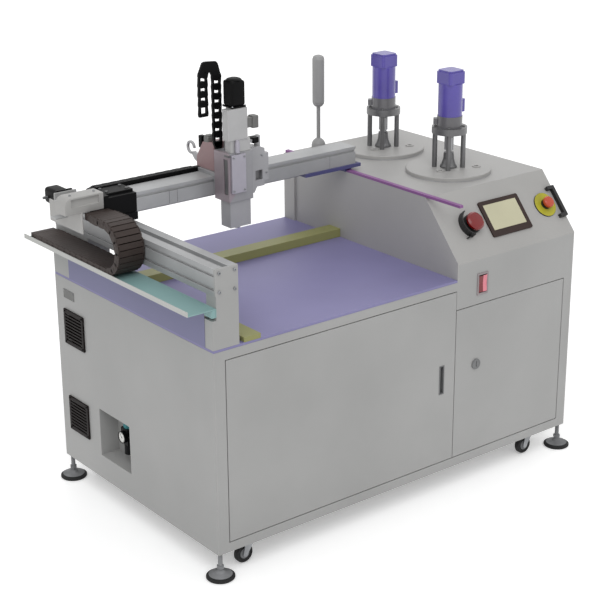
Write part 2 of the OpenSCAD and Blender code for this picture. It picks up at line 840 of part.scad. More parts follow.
module levelling_foot(sx, sy) {
    color("dimgray") at_home() translate([sx * foot_x, sy * foot_y, 0]) {
        rotate_extrude() polygon([
            [0, 0], [pad_d / 2 - 3, 0], [pad_d / 2, 3], [pad_d / 2, 8], [pad_d / 2 - 8, 13],
            [16, 19], [12, pad_h], [stem_d / 2, pad_h + 4], [stem_d / 2, cab_z + stem_in - 1],
            [stem_d / 2 - 1, cab_z + stem_in], [0, cab_z + stem_in]
        ]);
        translate([0, 0, pad_h + 8]) cylinder(d = stem_d + 10, h = 9, $fn = 6);
    }
}

module caster_fork(sx, sy) {
    arm_y = wheel_w / 2 + 1.5;
    color("silver") at_home() translate([sx * caster_x, sy * caster_y, 0]) {
        translate([0, 0, fork_top - slide_gap - fork_disc]) cylinder(d = 46, h = fork_disc);
        translate([0, 0, fork_top - slide_gap - eps]) cylinder(d = kingpin_d, h = kingpin_l + eps);
        for (side = [-1, 1]) translate([0, side * (arm_y + cheek_t / 2) + cheek_t / 2, 0])
            rotate([90, 0, 0]) linear_extrude(cheek_t) {
                polygon([
                    [-trail - 9, axle_z], [-16, fork_top - slide_gap - fork_disc + eps],
                    [18, fork_top - slide_gap - fork_disc + eps], [-trail + 9, axle_z]
                ]);
                translate([-trail, axle_z]) circle(9);
            }
        translate([-trail, arm_y + cheek_t, axle_z]) rotate([90, 0, 0])
            cylinder(d = axle_d, h = 2 * (arm_y + cheek_t));
        block([-trail - wheel_d / 2 - 12, -8, fork_top - 14], [-trail - 4, 8, fork_top - 11]);
        block([-trail - 6, -arm_y - cheek_t, fork_top - 14], [-16, arm_y + cheek_t, fork_top - 11]);
    }
}

module caster_wheel(sx, sy) {
    color("black") at_home()
        translate([sx * caster_x - trail, sy * caster_y, axle_z]) rotate([90, 0, 0])
            rotate_extrude() polygon([
                [axle_d / 2 + fit_gap, -wheel_w / 2], [wheel_d / 4, -wheel_w / 2],
                [wheel_d / 4 + 2, -wheel_w / 2 + 3], [wheel_d / 2 - 7, -wheel_w / 2 + 3],
                [wheel_d / 2 - 5, -wheel_w / 2], [wheel_d / 2 - 2, -wheel_w / 2 + 1],
                [wheel_d / 2, -wheel_w / 2 + 4], [wheel_d / 2, wheel_w / 2 - 4],
                [wheel_d / 2 - 2, wheel_w / 2 - 1], [wheel_d / 2 - 5, wheel_w / 2],
                [wheel_d / 2 - 7, wheel_w / 2 - 3], [wheel_d / 4 + 2, wheel_w / 2 - 3],
                [wheel_d / 4, wheel_w / 2], [axle_d / 2 + fit_gap, wheel_w / 2]
            ]);
}

// Controls

barrel_d = 30;
plate_up = 4;
stop_base_t = 10;
estop_base_t = 12;
guard_t = 4;

module touch_screen() {
    color("saddlebrown") at_home() on_slope(screen_x, panel_v) difference() {
        union() {
            linear_extrude(6) round_rect(screen_w, screen_h, 6);
            translate([0, 0, -30]) linear_extrude(30 + eps) square([screen_w - 18, screen_h - 18], center = true);
        }
        translate([0, 4, 4.5]) linear_extrude(4) square([screen_w - 30, screen_h - 36], center = true);
    }
}

module button_barrel(height) {
    difference() {
        translate([0, 0, -30]) cylinder(d = barrel_d - 0.6, h = 30 + height);
        translate([0, 0, -20]) cylinder(r = button_stem_d / 2 + fit_gap, h = 30 + height);
    }
}

button_stem_d = 18;
guard_out = 46;
guard_h = 24;
guard_tail = 20;

module panel_bases() {
    color("black") at_home() {
        on_slope(stop_x, panel_v) {
            difference() {
                union() {
                    cylinder(d = 66, h = stop_base_t);
                    button_barrel(stop_base_t);
                }
                translate([0, 0, -20]) cylinder(r = button_stem_d / 2 + fit_gap, h = 40);
            }
            linear_extrude(guard_h) intersection() {
                difference() {
                    circle(r = guard_out + guard_t);
                    circle(r = guard_out);
                }
                polygon([[0, 0], [-guard_out, 2 * guard_out], [-2 * guard_out, 0], [-guard_out, -2 * guard_out]]);
            }
            rotate([0, 0, 240]) translate([guard_out + eps, -guard_t, 0]) rotate([0, 0, -50])
                cube([guard_tail, guard_t, guard_h / 2]);
        }
        on_slope(estop_x, panel_v) {
            difference() {
                union() {
                    cylinder(d = estop_plate_d, h = plate_up);
                    cylinder(d = estop_head_d - 4, h = estop_base_t);
                    button_barrel(plate_up);
                }
                translate([0, 0, -20]) cylinder(r = button_stem_d / 2 + fit_gap, h = 40);
            }
            translate([estop_plate_d / 2 + 2, 0, 0]) linear_extrude(14) difference() {
                translate([-10, -58]) square([32, 116]);
                translate([-10 - eps, -46]) square([20, 92]);
            }
        }
        translate([tower_x + switch_x, front_y, switch_z]) difference() {
            union() {
                translate([-switch_w / 2, -3, -switch_h / 2]) cube([switch_w, 3, switch_h]);
                translate([-switch_w / 2 + 3, -eps, -switch_h / 2 + 3]) cube([switch_w - 6, 30, switch_h - 6]);
            }
            translate([-switch_w / 2 + 6, -3 - eps, -switch_h / 2 + 6])
                cube([switch_w - 12, 24, switch_h - 12]);
        }
    }
}

module estop_button() {
    color("red") at_home() on_slope(estop_x, panel_v) translate([0, 0, estop_base_t + press + slide_gap]) {
        rotate_extrude() polygon([
            [0, 0], [estop_head_d / 2, 0], [estop_head_d / 2, 9], [estop_head_d / 2 - 4, 13], [0, 14]
        ]);
        translate([0, 0, -estop_base_t - press - 10]) cylinder(d = button_stem_d, h = estop_base_t + 10 + press + eps);
    }
}

module stop_button() {
    color("darkred") at_home() on_slope(stop_x, panel_v) translate([0, 0, stop_base_t + press + slide_gap]) {
        rotate([0, 0, 22.5]) cylinder(d = stop_head_d / cos(22.5), h = 20, $fn = 8);
        translate([0, 0, -stop_base_t - press - 10]) cylinder(d = button_stem_d, h = stop_base_t + 10 + press + eps);
    }
}

rocker_gap = 0.6;
rocker_w = switch_w - 12 - 2 * rocker_gap;
rocker_h = switch_h - 12 - 6;

module switch_rocker() {
    color("crimson") at_home() translate([tower_x + switch_x, front_y, switch_z]) {
        translate([-rocker_w / 2, 0, 0]) rotate([90, 0, 90]) linear_extrude(rocker_w) polygon([
            [-4, -rocker_h / 2], [-2, 0], [-4, rocker_h / 2], [8, rocker_h / 2 - 6],
            [14, 6], [14, -6], [8, -rocker_h / 2 + 6]
        ]);
        translate([-rocker_w / 2 - rocker_gap / 2, 9, 0]) rotate([0, 90, 0]) cylinder(d = 6, h = rocker_w + rocker_gap);
    }
}

lamp_x = 128;
lamp_y = back_y - 30;

module signal_lamp() {
    color("gray") at_home() translate([tower_x + lamp_x, lamp_y, tower_z]) rotate_extrude() polygon([
        [0, 0], [25, 0], [25, 14], [23.5, 22], [19, 30], [12, 36], [7, 39], [7, 152],
        [14, 156], [20, 164], [21.5, 172], [21.5, 325], [18, 335], [10, 339], [0, 339]
    ]);
}

// Tanks and agitators

pump_neck = 27;
tank_bottom = tower_z + rim_t - tank_depth;
lid_z = tower_z + rim_t;
post_z0 = lid_z + lid_t;
flange_z = post_z0 + post_h;
gearbox_z = flange_z + flange_t;
amotor_z = gearbox_z + gearbox_h;

module at_tanks() {
    for (tank = [[tank_a_x, tank_a_y], [tank_b_x, tank_b_y]])
        translate([tower_x + tank[0], tank[1], 0]) children();
}

module tanks() {
    r = tank_d / 2;
    color("lightsteelblue") at_home() at_tanks() rotate_extrude() polygon([
        [r - tank_wall, lid_z], [lid_d / 2, lid_z], [lid_d / 2, tower_z], [r, tower_z],
        [r, tank_bottom + 45], [r - 12, tank_bottom + 33], [pump_neck / 2, tank_bottom + 18],
        [pump_neck / 2, tank_bottom], [pump_neck / 2 - tank_wall, tank_bottom],
        [pump_neck / 2 - tank_wall, tank_bottom + 18 + tank_wall], [r - 12, tank_bottom + 33 + tank_wall],
        [r - tank_wall, tank_bottom + 45]
    ]);
}

module tank_lids() {
    color("lightgray") at_home() at_tanks() translate([0, 0, lid_z]) difference() {
        union() {
            cylinder(d = lid_d, h = lid_t - 2);
            translate([0, 0, lid_t - 2]) cylinder(d1 = lid_d, d2 = lid_d - 4, h = 2);
            for (port = [[-58, -22], [77, -57]]) translate([port[0], port[1], 0]) cylinder(d = 30, h = lid_t + 3);
        }
        translate([0, 0, -eps]) cylinder(d = shaft_d + 8, h = lid_t + 2 * eps);
        for (port = [[-58, -22], [77, -57]]) translate([port[0], port[1], -eps]) cylinder(d = 15, h = lid_t + 4);
    }
}

module agitator_stands() {
    bore = shaft_d / 2 + fit_gap;
    color("gray") at_home() at_tanks() {
        for (sx = [-1, 1], sy = [-1, 1])
            translate([sx * post_pitch / 2, sy * post_pitch / 2, post_z0]) cylinder(d = post_d, h = post_h);
        translate([0, 0, flange_z]) difference() {
            cylinder(d = flange_d, h = flange_t);
            translate([0, 0, -eps]) cylinder(d = shaft_d + 12, h = flange_t + 2 * eps);
        }
        translate([0, 0, post_z0]) rotate_extrude() polygon([
            [bore, 0], [29, 0], [29, 6], [24, 14], [19, 30], [17, 53], [bore, 53]
        ]);
    }
}

module agitator_motors() {
    color("slateblue") at_home() at_tanks() {
        translate([0, 0, gearbox_z]) difference() {
            union() {
                cylinder(d = gearbox_d, h = gearbox_h);
                rotate([0, 0, 135]) translate([gearbox_d / 2 - 8, -11, 8]) cube([20, 22, 20]);
            }
            translate([0, 0, -eps]) cylinder(r = shaft_d / 2 + fit_gap, h = 16 + eps);
        }
        translate([0, 0, amotor_z]) {
            cylinder(d = motor_d, h = motor_h);
            translate([motor_d / 2 - 10, -16, 8]) cube([22, 32, 44]);
        }
        translate([0, 0, amotor_z + motor_h]) {
            linear_extrude(cap_h - 6) round_rect(cap_side, cap_side, 10);
            translate([0, 0, cap_h - 6]) linear_extrude(6) round_rect(cap_side - 8, cap_side - 8, 8);
        }
    }
}

shaft_low = tank_bottom + 55;
shaft_top = gearbox_z + 14;

module agitator_shaft(x, y) {
    color("gainsboro") at_home() translate([tower_x + x, y, 0]) {
        translate([0, 0, shaft_low]) cylinder(d = shaft_d, h = shaft_top - shaft_low);
        translate([0, 0, post_z0 + 62]) cylinder(d = 32, h = 44);
        for (level = [20, 130]) translate([0, 0, shaft_low + level]) {
            translate([0, 0, -12]) cylinder(d = shaft_d + 14, h = 24);
            for (a = [0 : 90 : 270]) rotate([0, 0, a + level / 2]) rotate([45, 0, 0])
                translate([shaft_d / 2, -16, -1.5]) cube([paddle_r - shaft_d / 2, 32, 3]);
        }
    }
}

module agitator_shaft_a() {
    agitator_shaft(tank_a_x, tank_a_y);
}

module agitator_shaft_b() {
    agitator_shaft(tank_b_x, tank_b_y);
}

module metering_pumps() {
    head = 100;
    color("lightgray") at_home() at_tanks() {
        translate([0, 0, shelf_z]) difference() {
            union() {
                translate([-head / 2, -head / 2, 0]) cube([head, head, 90]);
                translate([-head / 2 - 20, -20, 30]) cube([head + 40, 40, 40]);
                translate([0, 0, 90 - eps]) cylinder(d = pump_neck, h = tank_bottom - shelf_z - 90 + eps);
                translate([0, 0, 90]) cylinder(d = 50, h = 10);
            }
            translate([0, 0, 60]) cylinder(d = pump_neck - 2 * tank_wall, h = tank_bottom - shelf_z);
        }
        translate([0, 0, shelf_z - skin]) mirror([0, 0, 1]) {
            translate([-45, -45, 0]) cube([90, 90, 12]);
            linear_extrude(140) round_rect(84, 84, 8);
        }
        translate([0, 0, shelf_z - skin - eps]) cylinder(d = pump_neck, h = skin + 2 * eps);
    }
}

module control_plate() {
    plate_x = left_x + 190;
    plate_w = 620;
    plate_y = 250;
    plate_z = cab_z + channel_wall + skin;
    color("whitesmoke") at_home() translate([plate_x, plate_y, plate_z]) {
        cube([plate_w, 3, 480]);
        for (k = [0, 1]) translate([k * (plate_w - 30), -40, 0]) cube([30, 80, 3]);
        for (k = [0 : 3]) translate([30 + 75 * k, -90, 280]) cube([55, 90, 150]);
        translate([360, -70, 290]) cube([100, 70, 130]);
        translate([490, -60, 300]) cube([90, 60, 110]);
        translate([30, -45, 90]) cube([plate_w - 60, 45, 40]);
        for (z = [40, 160, 240]) translate([20, -50, z]) cube([plate_w - 40, 50, 25]);
    }
}

// Y axis

module grooved_rect(wide, high, lines_x, lines_y) {
    difference() {
        square([wide, high]);
        for (x = lines_x) {
            translate([x - groove_w / 2, high - groove_t]) square([groove_w, groove_t + eps]);
            translate([x - groove_w / 2, -eps]) square([groove_w, groove_t + eps]);
        }
        for (y = lines_y) {
            translate([-eps, y - groove_w / 2]) square([groove_t + eps, groove_w]);
            translate([wide - groove_t, y - groove_w / 2]) square([groove_t + eps, groove_w]);
        }
    }
}

keel_w = 20;
keel_h = 10;

module y_beam() {
    color("silver") at_home() difference() {
        translate([beam_x, front_y + end_plate + beam_len, beam_z]) rotate([90, 0, 0])
            linear_extrude(beam_len) difference() {
                grooved_rect(beam_w, beam_h, [], [beam_h / 4, beam_h * 3 / 4]);
                translate([beam_w / 2 - keel_w / 2 - slide_gap, beam_h - keel_h - 2])
                    square([keel_w + 2 * slide_gap, keel_h + 3]);
            }
    }
}

module beam_posts() {
    cheek_w = 93;
    low_z = beam_z - 70;
    color("silver") at_home() {
        block([left_x, front_y, table_z], [left_x + cheek_w, front_y + front_post_d, low_z]);
        block([beam_x + 2, front_y, low_z], [left_x + cheek_w, front_y + front_post_d, beam_z]);
        block([beam_x, front_y, beam_z], [beam_x + beam_w, front_y + end_plate, beam_top]);
        block([left_x, back_y - rear_post_d, table_z], [left_x + cheek_w, back_y, low_z]);
        block([beam_x + 2, back_y - rear_post_d, low_z], [left_x + cheek_w, back_y, beam_z]);
        block([beam_x, back_y - end_plate, beam_z], [beam_x + beam_w, back_y, beam_top + 20]);
    }
}

module y_motor() {
    color("black") at_home() translate([beam_x + 10, back_y, beam_top - 38]) {
        cube([60, 8, 62]);
        translate([2, 8, 3]) cube([56, ymotor_l - 8, 56]);
        translate([-14, 46, 20]) cube([16 + eps, 26, 20]);
    }
}

tray_lip = 12;

module chain_tray() {
    color("cadetblue") at_home() {
        block([tray_x, front_y, chain_z - tray_t], [beam_x + 2, back_y + tray_over, chain_z]);
        block([tray_x, front_y, chain_z - tray_t], [tray_x + tray_t, back_y + tray_over, chain_z + tray_lip]);
        for (y = [front_y + 44, back_y - 150])
            plate_xz(y, 4) polygon([
                [left_x - 4, table_z], [left_x, table_z], [left_x, beam_z - 70], [beam_x + 2, beam_z - 70],
                [beam_x + 2, chain_z - tray_t + eps], [tray_x + 30, chain_z - tray_t + eps]
            ]);
    }
}

// The side view of a chain that runs back over itself: both runs and the half-round bend
module chain_side(radius, thick, low_run, high_run) {
    difference() {
        circle(radius, $fn = 96);
        circle(radius - thick, $fn = 96);
        translate([0, -radius - 1]) square(2 * radius + 2);
    }
    translate([-eps, -radius]) square([low_run + eps, thick]);
    translate([-eps, radius - thick]) square([high_run + eps, thick]);
}

module y_chain() {
    color("black") at_home() translate([0, bend_y, chain_mid])
        plate_yz(chain_x, chain_w) chain_side(chain_r, chain_t, back_y - bend_y, gantry_y - slide_gap - bend_y);
}

module right_rail() {
    color("purple") at_home() block([rail_x, front_y, tower_z], [rail_x + rail_w, back_y, rail_top]);
}

// Gantry

module y_carriage() {
    mid = beam_x + beam_w / 2;
    color("dimgray") at_home() {
        block([block_x + 12, gantry_y - 8, carriage_z], [xbeam_x - 2, gantry_y + xbeam_d + 6, xbeam_z]);
        block([mid - keel_w / 2, gantry_y - 8, carriage_z - keel_h],
              [mid + keel_w / 2, gantry_y + xbeam_d + 6, carriage_z + eps]);
        difference() {
            block([block_x, gantry_y, xbeam_z], [xbeam_x, gantry_y + xbeam_d + 5, xbeam_z + block_h]);
            block([block_x + 20, gantry_y - eps, xbeam_z + block_h - 8],
                  [xbeam_x + eps, gantry_y + 20, xbeam_z + block_h + eps]);
        }
    }
}

module end_housing() {
    corner = 22;
    color("gray") at_home() difference() {
        plate_xz(gantry_y - 3, housing_d) difference() {
            translate([housing_x, housing_z]) union() {
                square([housing_l, housing_h - corner]);
                translate([corner, 0]) square([housing_l - corner, housing_h]);
                translate([corner, housing_h - corner]) circle(corner);
            }
        }
        block([housing_x + 45, gantry_y - 3 - eps, housing_z + 10],
              [housing_x + housing_l - 12, gantry_y + 5, housing_z + 50]);
    }
}

module x_beam() {
    color("lightgray") at_home() {
        translate([xbeam_x, gantry_y, xbeam_z]) rotate([90, 0, 90]) linear_extrude(xbeam_l)
            grooved_rect(xbeam_d, xbeam_h, [], [xbeam_h * 0.76]);
        block([xbeam_x, gantry_y + 8, xbeam_z - 6], [xbeam_x + xbeam_l - runner_plate_l, gantry_y + xbeam_d - 8, xbeam_z]);
        block([xbeam_x, gantry_y + xbeam_d - eps, xbeam_z - trough_t],
              [xchain_end, xchain_y + xchain_w + trough_t, xbeam_z]);
        block([xchain_bend - 150, gantry_y + xbeam_d + 6, xbeam_z - trough_t],
              [xbeam_x, xchain_y + xchain_w + trough_t, xbeam_z]);
    }
}

module right_runner() {
    plate_z = xbeam_z - runner_plate_t;
    mid = rail_x + rail_w / 2;
    plate_r = xbeam_x + xbeam_l + 20;
    color("midnightblue") at_home() {
        block([plate_r - runner_plate_l, gantry_y - 5, plate_z], [plate_r, gantry_y + xbeam_d + 5, xbeam_z]);
        difference() {
            block([mid - 15, gantry_y + 8, rail_top - rail_h + 2], [mid + 15, gantry_y + xbeam_d - 8, plate_z]);
            block([mid - rail_w / 2 - slide_gap, gantry_y, tower_z], [mid + rail_w / 2 + slide_gap,
                   gantry_y + xbeam_d, rail_top + slide_gap]);
        }
    }
}

module x_chain() {
    color("black") at_home() translate([xchain_bend, 0, xchain_z + xchain_r])
        plate_xz(xchain_y, xchain_w)
            chain_side(xchain_r, xchain_t, xchain_end - xchain_bend, head_x + 30 - xchain_bend);
}

// Head

module x_carriage() {
    saddle_z = xbeam_top + slide_gap;
    front = gantry_y - slide_gap;
    back = gantry_y + xbeam_d + slide_gap;
    color("rosybrown") at_home() {
        block([head_x, front - 5.7, saddle_z], [head_x + saddle_w, back + 5.7, saddle_top]);
        block([head_x, front - 5.7, xbeam_z + 1], [head_x + saddle_w, front, saddle_z + eps]);
        block([head_x, back, xbeam_z + 18], [head_x + zbox_w, back + 5.7, saddle_z + eps]);
        block([head_x + 8, cover_y, cover_z], [head_x + 92, gantry_y + 135, cover_z + cover_h]);
        plate_yz(head_x + 20, 8) difference() {
            union() {
                polygon([
                    [gantry_y + 130, cover_z + 20], [gantry_y + 130, cover_z + 52],
                    [gantry_y + 188, cover_z + 98], [gantry_y + 200, cover_z + 80]
                ]);
                translate([gantry_y + 196, cover_z + 100]) circle(22);
            }
            translate([gantry_y + 196, cover_z + 100]) circle(14);
        }
        block([head_x + 60, cover_y, saddle_top - eps], [head_x + 92, cover_y + 30, cover_z + cover_h + 12]);
    }
}

module z_housing() {
    cavity_w = ram_w + 2 * slide_gap;
    cavity_d = ram_d + 2 * slide_gap;
    color("lightgray") at_home() difference() {
        union() {
            block([head_x, zbox_y, zbox_z], [head_x + zbox_w, zbox_y + zbox_d, zbox_top]);
            block([head_x + 20, zbox_y + 4, zbox_top - eps], [head_x + zbox_w + 12, zbox_y + 76, zmount_z]);
            block([head_x + 6, zbox_y - 8, zbox_z + 12], [head_x + 44, zbox_y + eps, zbox_top - 20]);
        }
        block([ram_x - slide_gap, ram_y - slide_gap, zbox_z - eps],
              [ram_x - slide_gap + cavity_w, ram_y - slide_gap + cavity_d, zbox_top - 4]);
    }
}

module z_motor() {
    color("dimgray") at_home() {
        translate([zmotor_x, zmotor_y, zmount_z]) linear_extrude(zmount_h) round_rect(84, 72, 6);
        translate([zmotor_x, zmotor_y, zmotor_z]) {
            cylinder(d = zmotor_d, h = zmotor_h - 6);
            translate([0, 0, zmotor_h - 6]) cylinder(d1 = zmotor_d, d2 = zmotor_d - 8, h = 6);
        }
        block([zmotor_x + 42 - eps, zmotor_y - 14, zmount_z + 34], [zmotor_x + 74, zmotor_y + 14, zmount_z + 62]);
    }
}

module side_block() {
    x0 = head_x + zbox_w + 2;
    y0 = gantry_y - 6 - 44;
    color("silver") at_home() difference() {
        plate_xz(y0, 44) polygon([
            [x0, zbox_z + 4], [x0 + 30, zbox_z + 4], [x0 + 40, zbox_z + 22], [x0 + 70, zbox_z + 22],
            [x0 + 70, zbox_z + 38], [x0 + side_w, zbox_z + 38], [x0 + side_w, zbox_z + 130],
            [x0 + 72, zbox_z + 130], [x0 + 72, zbox_z + 146], [x0 + 50, zbox_z + 155], [x0, zbox_z + 155]
        ]);
        block([x0 + 34, y0 - eps, zbox_z + 44], [x0 + 62, y0 + 12, zbox_z + 76]);
    }
}

// Small cable chain: each link has two side plates with an oval window and two cross bars

link_in = link_depth / 2 - link_wall;
window_place = -0.05;
zchain_y = cover_y - link_depth / 2;
zchain_span = link_pitch * (1 + 2 * cos(70));
zchain_x = head_x + 25;
zchain_top = cover_z + cover_h + fixed_links * link_pitch;

// One side plate, whose far end is cut clear of the next link, which turns by that angle
module link_plate(window, turn) {
    difference() {
        union() {
            translate([0, -link_w / 2]) square([link_pitch, link_w]);
            circle(d = link_w);
        }
        if (window) translate([link_pitch * window_place, 0]) slot(link_pitch * 0.56, link_w * 0.36);
        translate([link_pitch, 0]) rotate([0, 0, turn]) {
            circle(d = link_w + 2 * slide_gap);
            translate([0, -link_w / 2 - slide_gap]) square([link_pitch, link_w + 2 * slide_gap]);
        }
    }
}

// A link along the first axis, its depth centred on the third
module chain_link(window, turn) {
    for (side = [-1, 1])
        translate([0, 0, side * (link_in + link_wall / 2) - link_wall / 2])
            linear_extrude(link_wall) link_plate(window, turn);
    for (side = [-1, 1])
        translate([2, side * (link_w / 2 - link_wall / 2) - link_wall / 2, -link_in - eps])
            cube([8, link_wall, 2 * (link_in + eps)]);
}

// Walks a list of headings and places one link at each step
module chain_walk(headings, windows, k = 0) {
    if (k < len(headings)) {
        rotate([0, 0, headings[k]]) chain_link(windows[k], k + 1 < len(headings) ? headings[k + 1] - headings[k] : 0);
        translate(link_pitch * [cos(headings[k]), sin(headings[k]), 0])
            chain_walk(headings, windows, k + 1);
    }
}

module z_chain() {
    headings = concat([for (k = [1 : fixed_links + 1]) 90], [110, 180, 250], [for (k = [1 : free_links]) 270]);
    windows = concat([false], [for (k = [1 : fixed_links]) true], [false, false, false],
                     [for (k = [1 : free_links]) true]);
    color("black") at_home()
        translate([zchain_x, zchain_y, cover_z + cover_h - link_pitch]) rotate([90, 0, 0])
            chain_walk(headings, windows);
}

outlet_d = 12;

module z_ram() {
    color("silver") at_home() difference() {
        union() {
            block([ram_x, ram_y, ram_z], [ram_x + ram_w, ram_y + ram_d, ram_z + ram_l]);
            translate([ram_x + ram_w / 2, ram_y + ram_d / 2, ram_z - 8]) cylinder(d = 26, h = 8 + eps);
        }
        translate([ram_x + ram_w / 2, ram_y + ram_d / 2, ram_z - 8 - eps]) cylinder(d = outlet_d, h = 24 + eps);
    }
}

base_frame();
left_side_panel();
right_side_panel();
front_fascia();
rear_panel();
tower_shell();
work_table();
stop_bars();
access_door();
door_pull();
tower_door();
door_lock();
touch_screen();
panel_bases();
estop_button();
stop_button();
switch_rocker();
signal_lamp();
tanks();
tank_lids();
agitator_stands();
agitator_motors();
agitator_shaft_a();
agitator_shaft_b();
metering_pumps();
control_plate();
y_beam();
beam_posts();
y_motor();
chain_tray();
y_chain();
right_rail();
fan_grilles();
fan_rotor_a();
fan_rotor_b();
air_regulator();
regulator_knob();
levelling_foot(-1, -1);  // foot_fl
levelling_foot(1, -1);  // foot_fr
levelling_foot(-1, 1);  // foot_bl
levelling_foot(1, 1);  // foot_br
caster_fork(-1, -1);  // caster_fork_fl
caster_fork(1, -1);  // caster_fork_fr
caster_fork(-1, 1);  // caster_fork_bl
caster_fork(1, 1);  // caster_fork_br
caster_wheel(-1, -1);  // caster_wheel_fl
caster_wheel(1, -1);  // caster_wheel_fr
caster_wheel(-1, 1);  // caster_wheel_bl
caster_wheel(1, 1);  // caster_wheel_br
y_carriage();
end_housing();
x_beam();
right_runner();
x_carriage();
z_housing();
z_motor();
side_block();
z_chain();
z_ram();
x_chain();
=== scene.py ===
"""Looks of a two-component dispensing machine: finishes, fittings, cable chains, light and camera."""

import json
import logging
import math
from dataclasses import dataclass
from enum import Enum
from functools import cached_property
from typing import Callable, Sequence

import bpy
from mathutils import Matrix, Vector


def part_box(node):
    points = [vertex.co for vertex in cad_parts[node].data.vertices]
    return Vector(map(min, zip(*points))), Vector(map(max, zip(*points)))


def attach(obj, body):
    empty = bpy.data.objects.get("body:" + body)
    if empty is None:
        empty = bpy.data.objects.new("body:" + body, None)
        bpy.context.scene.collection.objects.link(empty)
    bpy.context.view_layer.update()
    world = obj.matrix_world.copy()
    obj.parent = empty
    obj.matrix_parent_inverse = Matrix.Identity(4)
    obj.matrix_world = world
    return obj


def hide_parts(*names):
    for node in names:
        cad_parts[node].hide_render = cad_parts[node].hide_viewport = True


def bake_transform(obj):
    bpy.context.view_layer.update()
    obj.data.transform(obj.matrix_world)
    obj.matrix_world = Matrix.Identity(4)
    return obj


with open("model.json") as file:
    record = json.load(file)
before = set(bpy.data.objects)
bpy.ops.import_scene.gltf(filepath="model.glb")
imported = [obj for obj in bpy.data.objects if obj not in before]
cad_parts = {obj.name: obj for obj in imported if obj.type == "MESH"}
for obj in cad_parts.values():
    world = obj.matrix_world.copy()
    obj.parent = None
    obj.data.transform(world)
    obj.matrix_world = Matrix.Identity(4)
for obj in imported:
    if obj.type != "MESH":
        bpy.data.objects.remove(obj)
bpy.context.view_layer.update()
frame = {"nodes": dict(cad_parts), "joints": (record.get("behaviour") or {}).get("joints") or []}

MM = 0.001
log = logging.getLogger("dispensing_machine")

# Written in millimetres: a place, the points of an outline or a turned profile, and a block's two corners.
# A field that is a length is in metres where it has MM, and in millimetres where it hasn't.
Place = tuple[float, float, float]
Points = Sequence[tuple[float, float]]
Box = tuple[Place, Place]

Tree = bpy.types.NodeTree
Socket = bpy.types.NodeSocket
Piece = bpy.types.Object


class Axis(Enum):
    """The direction that a piece points in."""

    Y = Vector((0, 1, 0))
    Z = Vector((0, 0, 1))
    LEFT = Vector((-1, 0, 0))
    FRONT = Vector((0, -1, 0))


class Coat(Enum):
    """What a finish is made of, which sets its grain, bump and roughness."""

    POWDER = "powder"
    GLOSS = "gloss"
    PLASTIC = "plastic"
    RUBBER = "rubber"
    ANODISED = "anodised"
    GROUND = "ground"
    ZINC = "zinc"
    GLASS = "glass"


# Finishes

CLOUD_DETAIL = 4.0
FLECK_DETAIL = 2.0
CLOUD_RAMP = (0.32, 0.68)
CLOUD_DARKENS = 1.2
CLOUD_LIGHTENS = 0.6
SMOOTHER, ROUGHER = 0.06, 0.08
BUMP_DEPTH = 0.3 * MM
COAT_ROUGHNESS = 0.2
WEAR_RADIUS = 1.6 * MM
WEAR_SAMPLES = 3
WEAR_STARTS, WEAR_FULL = 0.99, 0.80


def linear(colour: Sequence[float]) -> tuple[float, float, float, float]:
    """Turns a screen colour into the light values that a shader takes.

    Args:
        colour: Red, green and blue from 0 to 255, as a screen shows them.

    Returns:
        Red, green, blue and alpha from 0 to 1.
    """
    def channel(value: float) -> float:
        """One channel of the colour as light."""
        share = value / 255
        return share / 12.92 if share <= 0.04045 else ((share + 0.055) / 1.055) ** 2.4

    red, green, blue = (channel(value) for value in colour)
    return red, green, blue, 1.0


@dataclass(frozen=True)
class Grain:
    """How fine and how strong the unevenness of a coat is. Cloud and fleck are in waves per metre."""

    cloud: float
    cloud_depth: float
    fleck: float
    bump: float
    roughness: float
    metallic: float = 0.0
    stretch: tuple[float, float, float] = (1.0, 1.0, 1.0)
    coat: float = 0.0
    wear: float = 0.5


GRAINS: dict[Coat, Grain] = {
    Coat.POWDER: Grain(cloud=2.4, cloud_depth=0.028, fleck=900, bump=0.10, roughness=0.48),
    Coat.GLOSS: Grain(cloud=9, cloud_depth=0.05, fleck=600, bump=0.06, roughness=0.28, coat=0.25),
    Coat.PLASTIC: Grain(cloud=14, cloud_depth=0.07, fleck=1400, bump=0.16, roughness=0.52),
    Coat.RUBBER: Grain(cloud=20, cloud_depth=0.12, fleck=1100, bump=0.22, roughness=0.78),
    Coat.ANODISED: Grain(cloud=5, cloud_depth=0.05, fleck=420, bump=0.05, roughness=0.42, metallic=0.35),
    Coat.GROUND: Grain(cloud=8, cloud_depth=0.08, fleck=650, bump=0.08, roughness=0.36, metallic=0.55,
                       stretch=(1.0, 1.0, 0.06)),
    Coat.ZINC: Grain(cloud=22, cloud_depth=0.12, fleck=500, bump=0.07, roughness=0.38, metallic=0.6),
    Coat.GLASS: Grain(cloud=5, cloud_depth=0.03, fleck=300, bump=0.01, roughness=0.12, coat=0.6, wear=0.0),
}


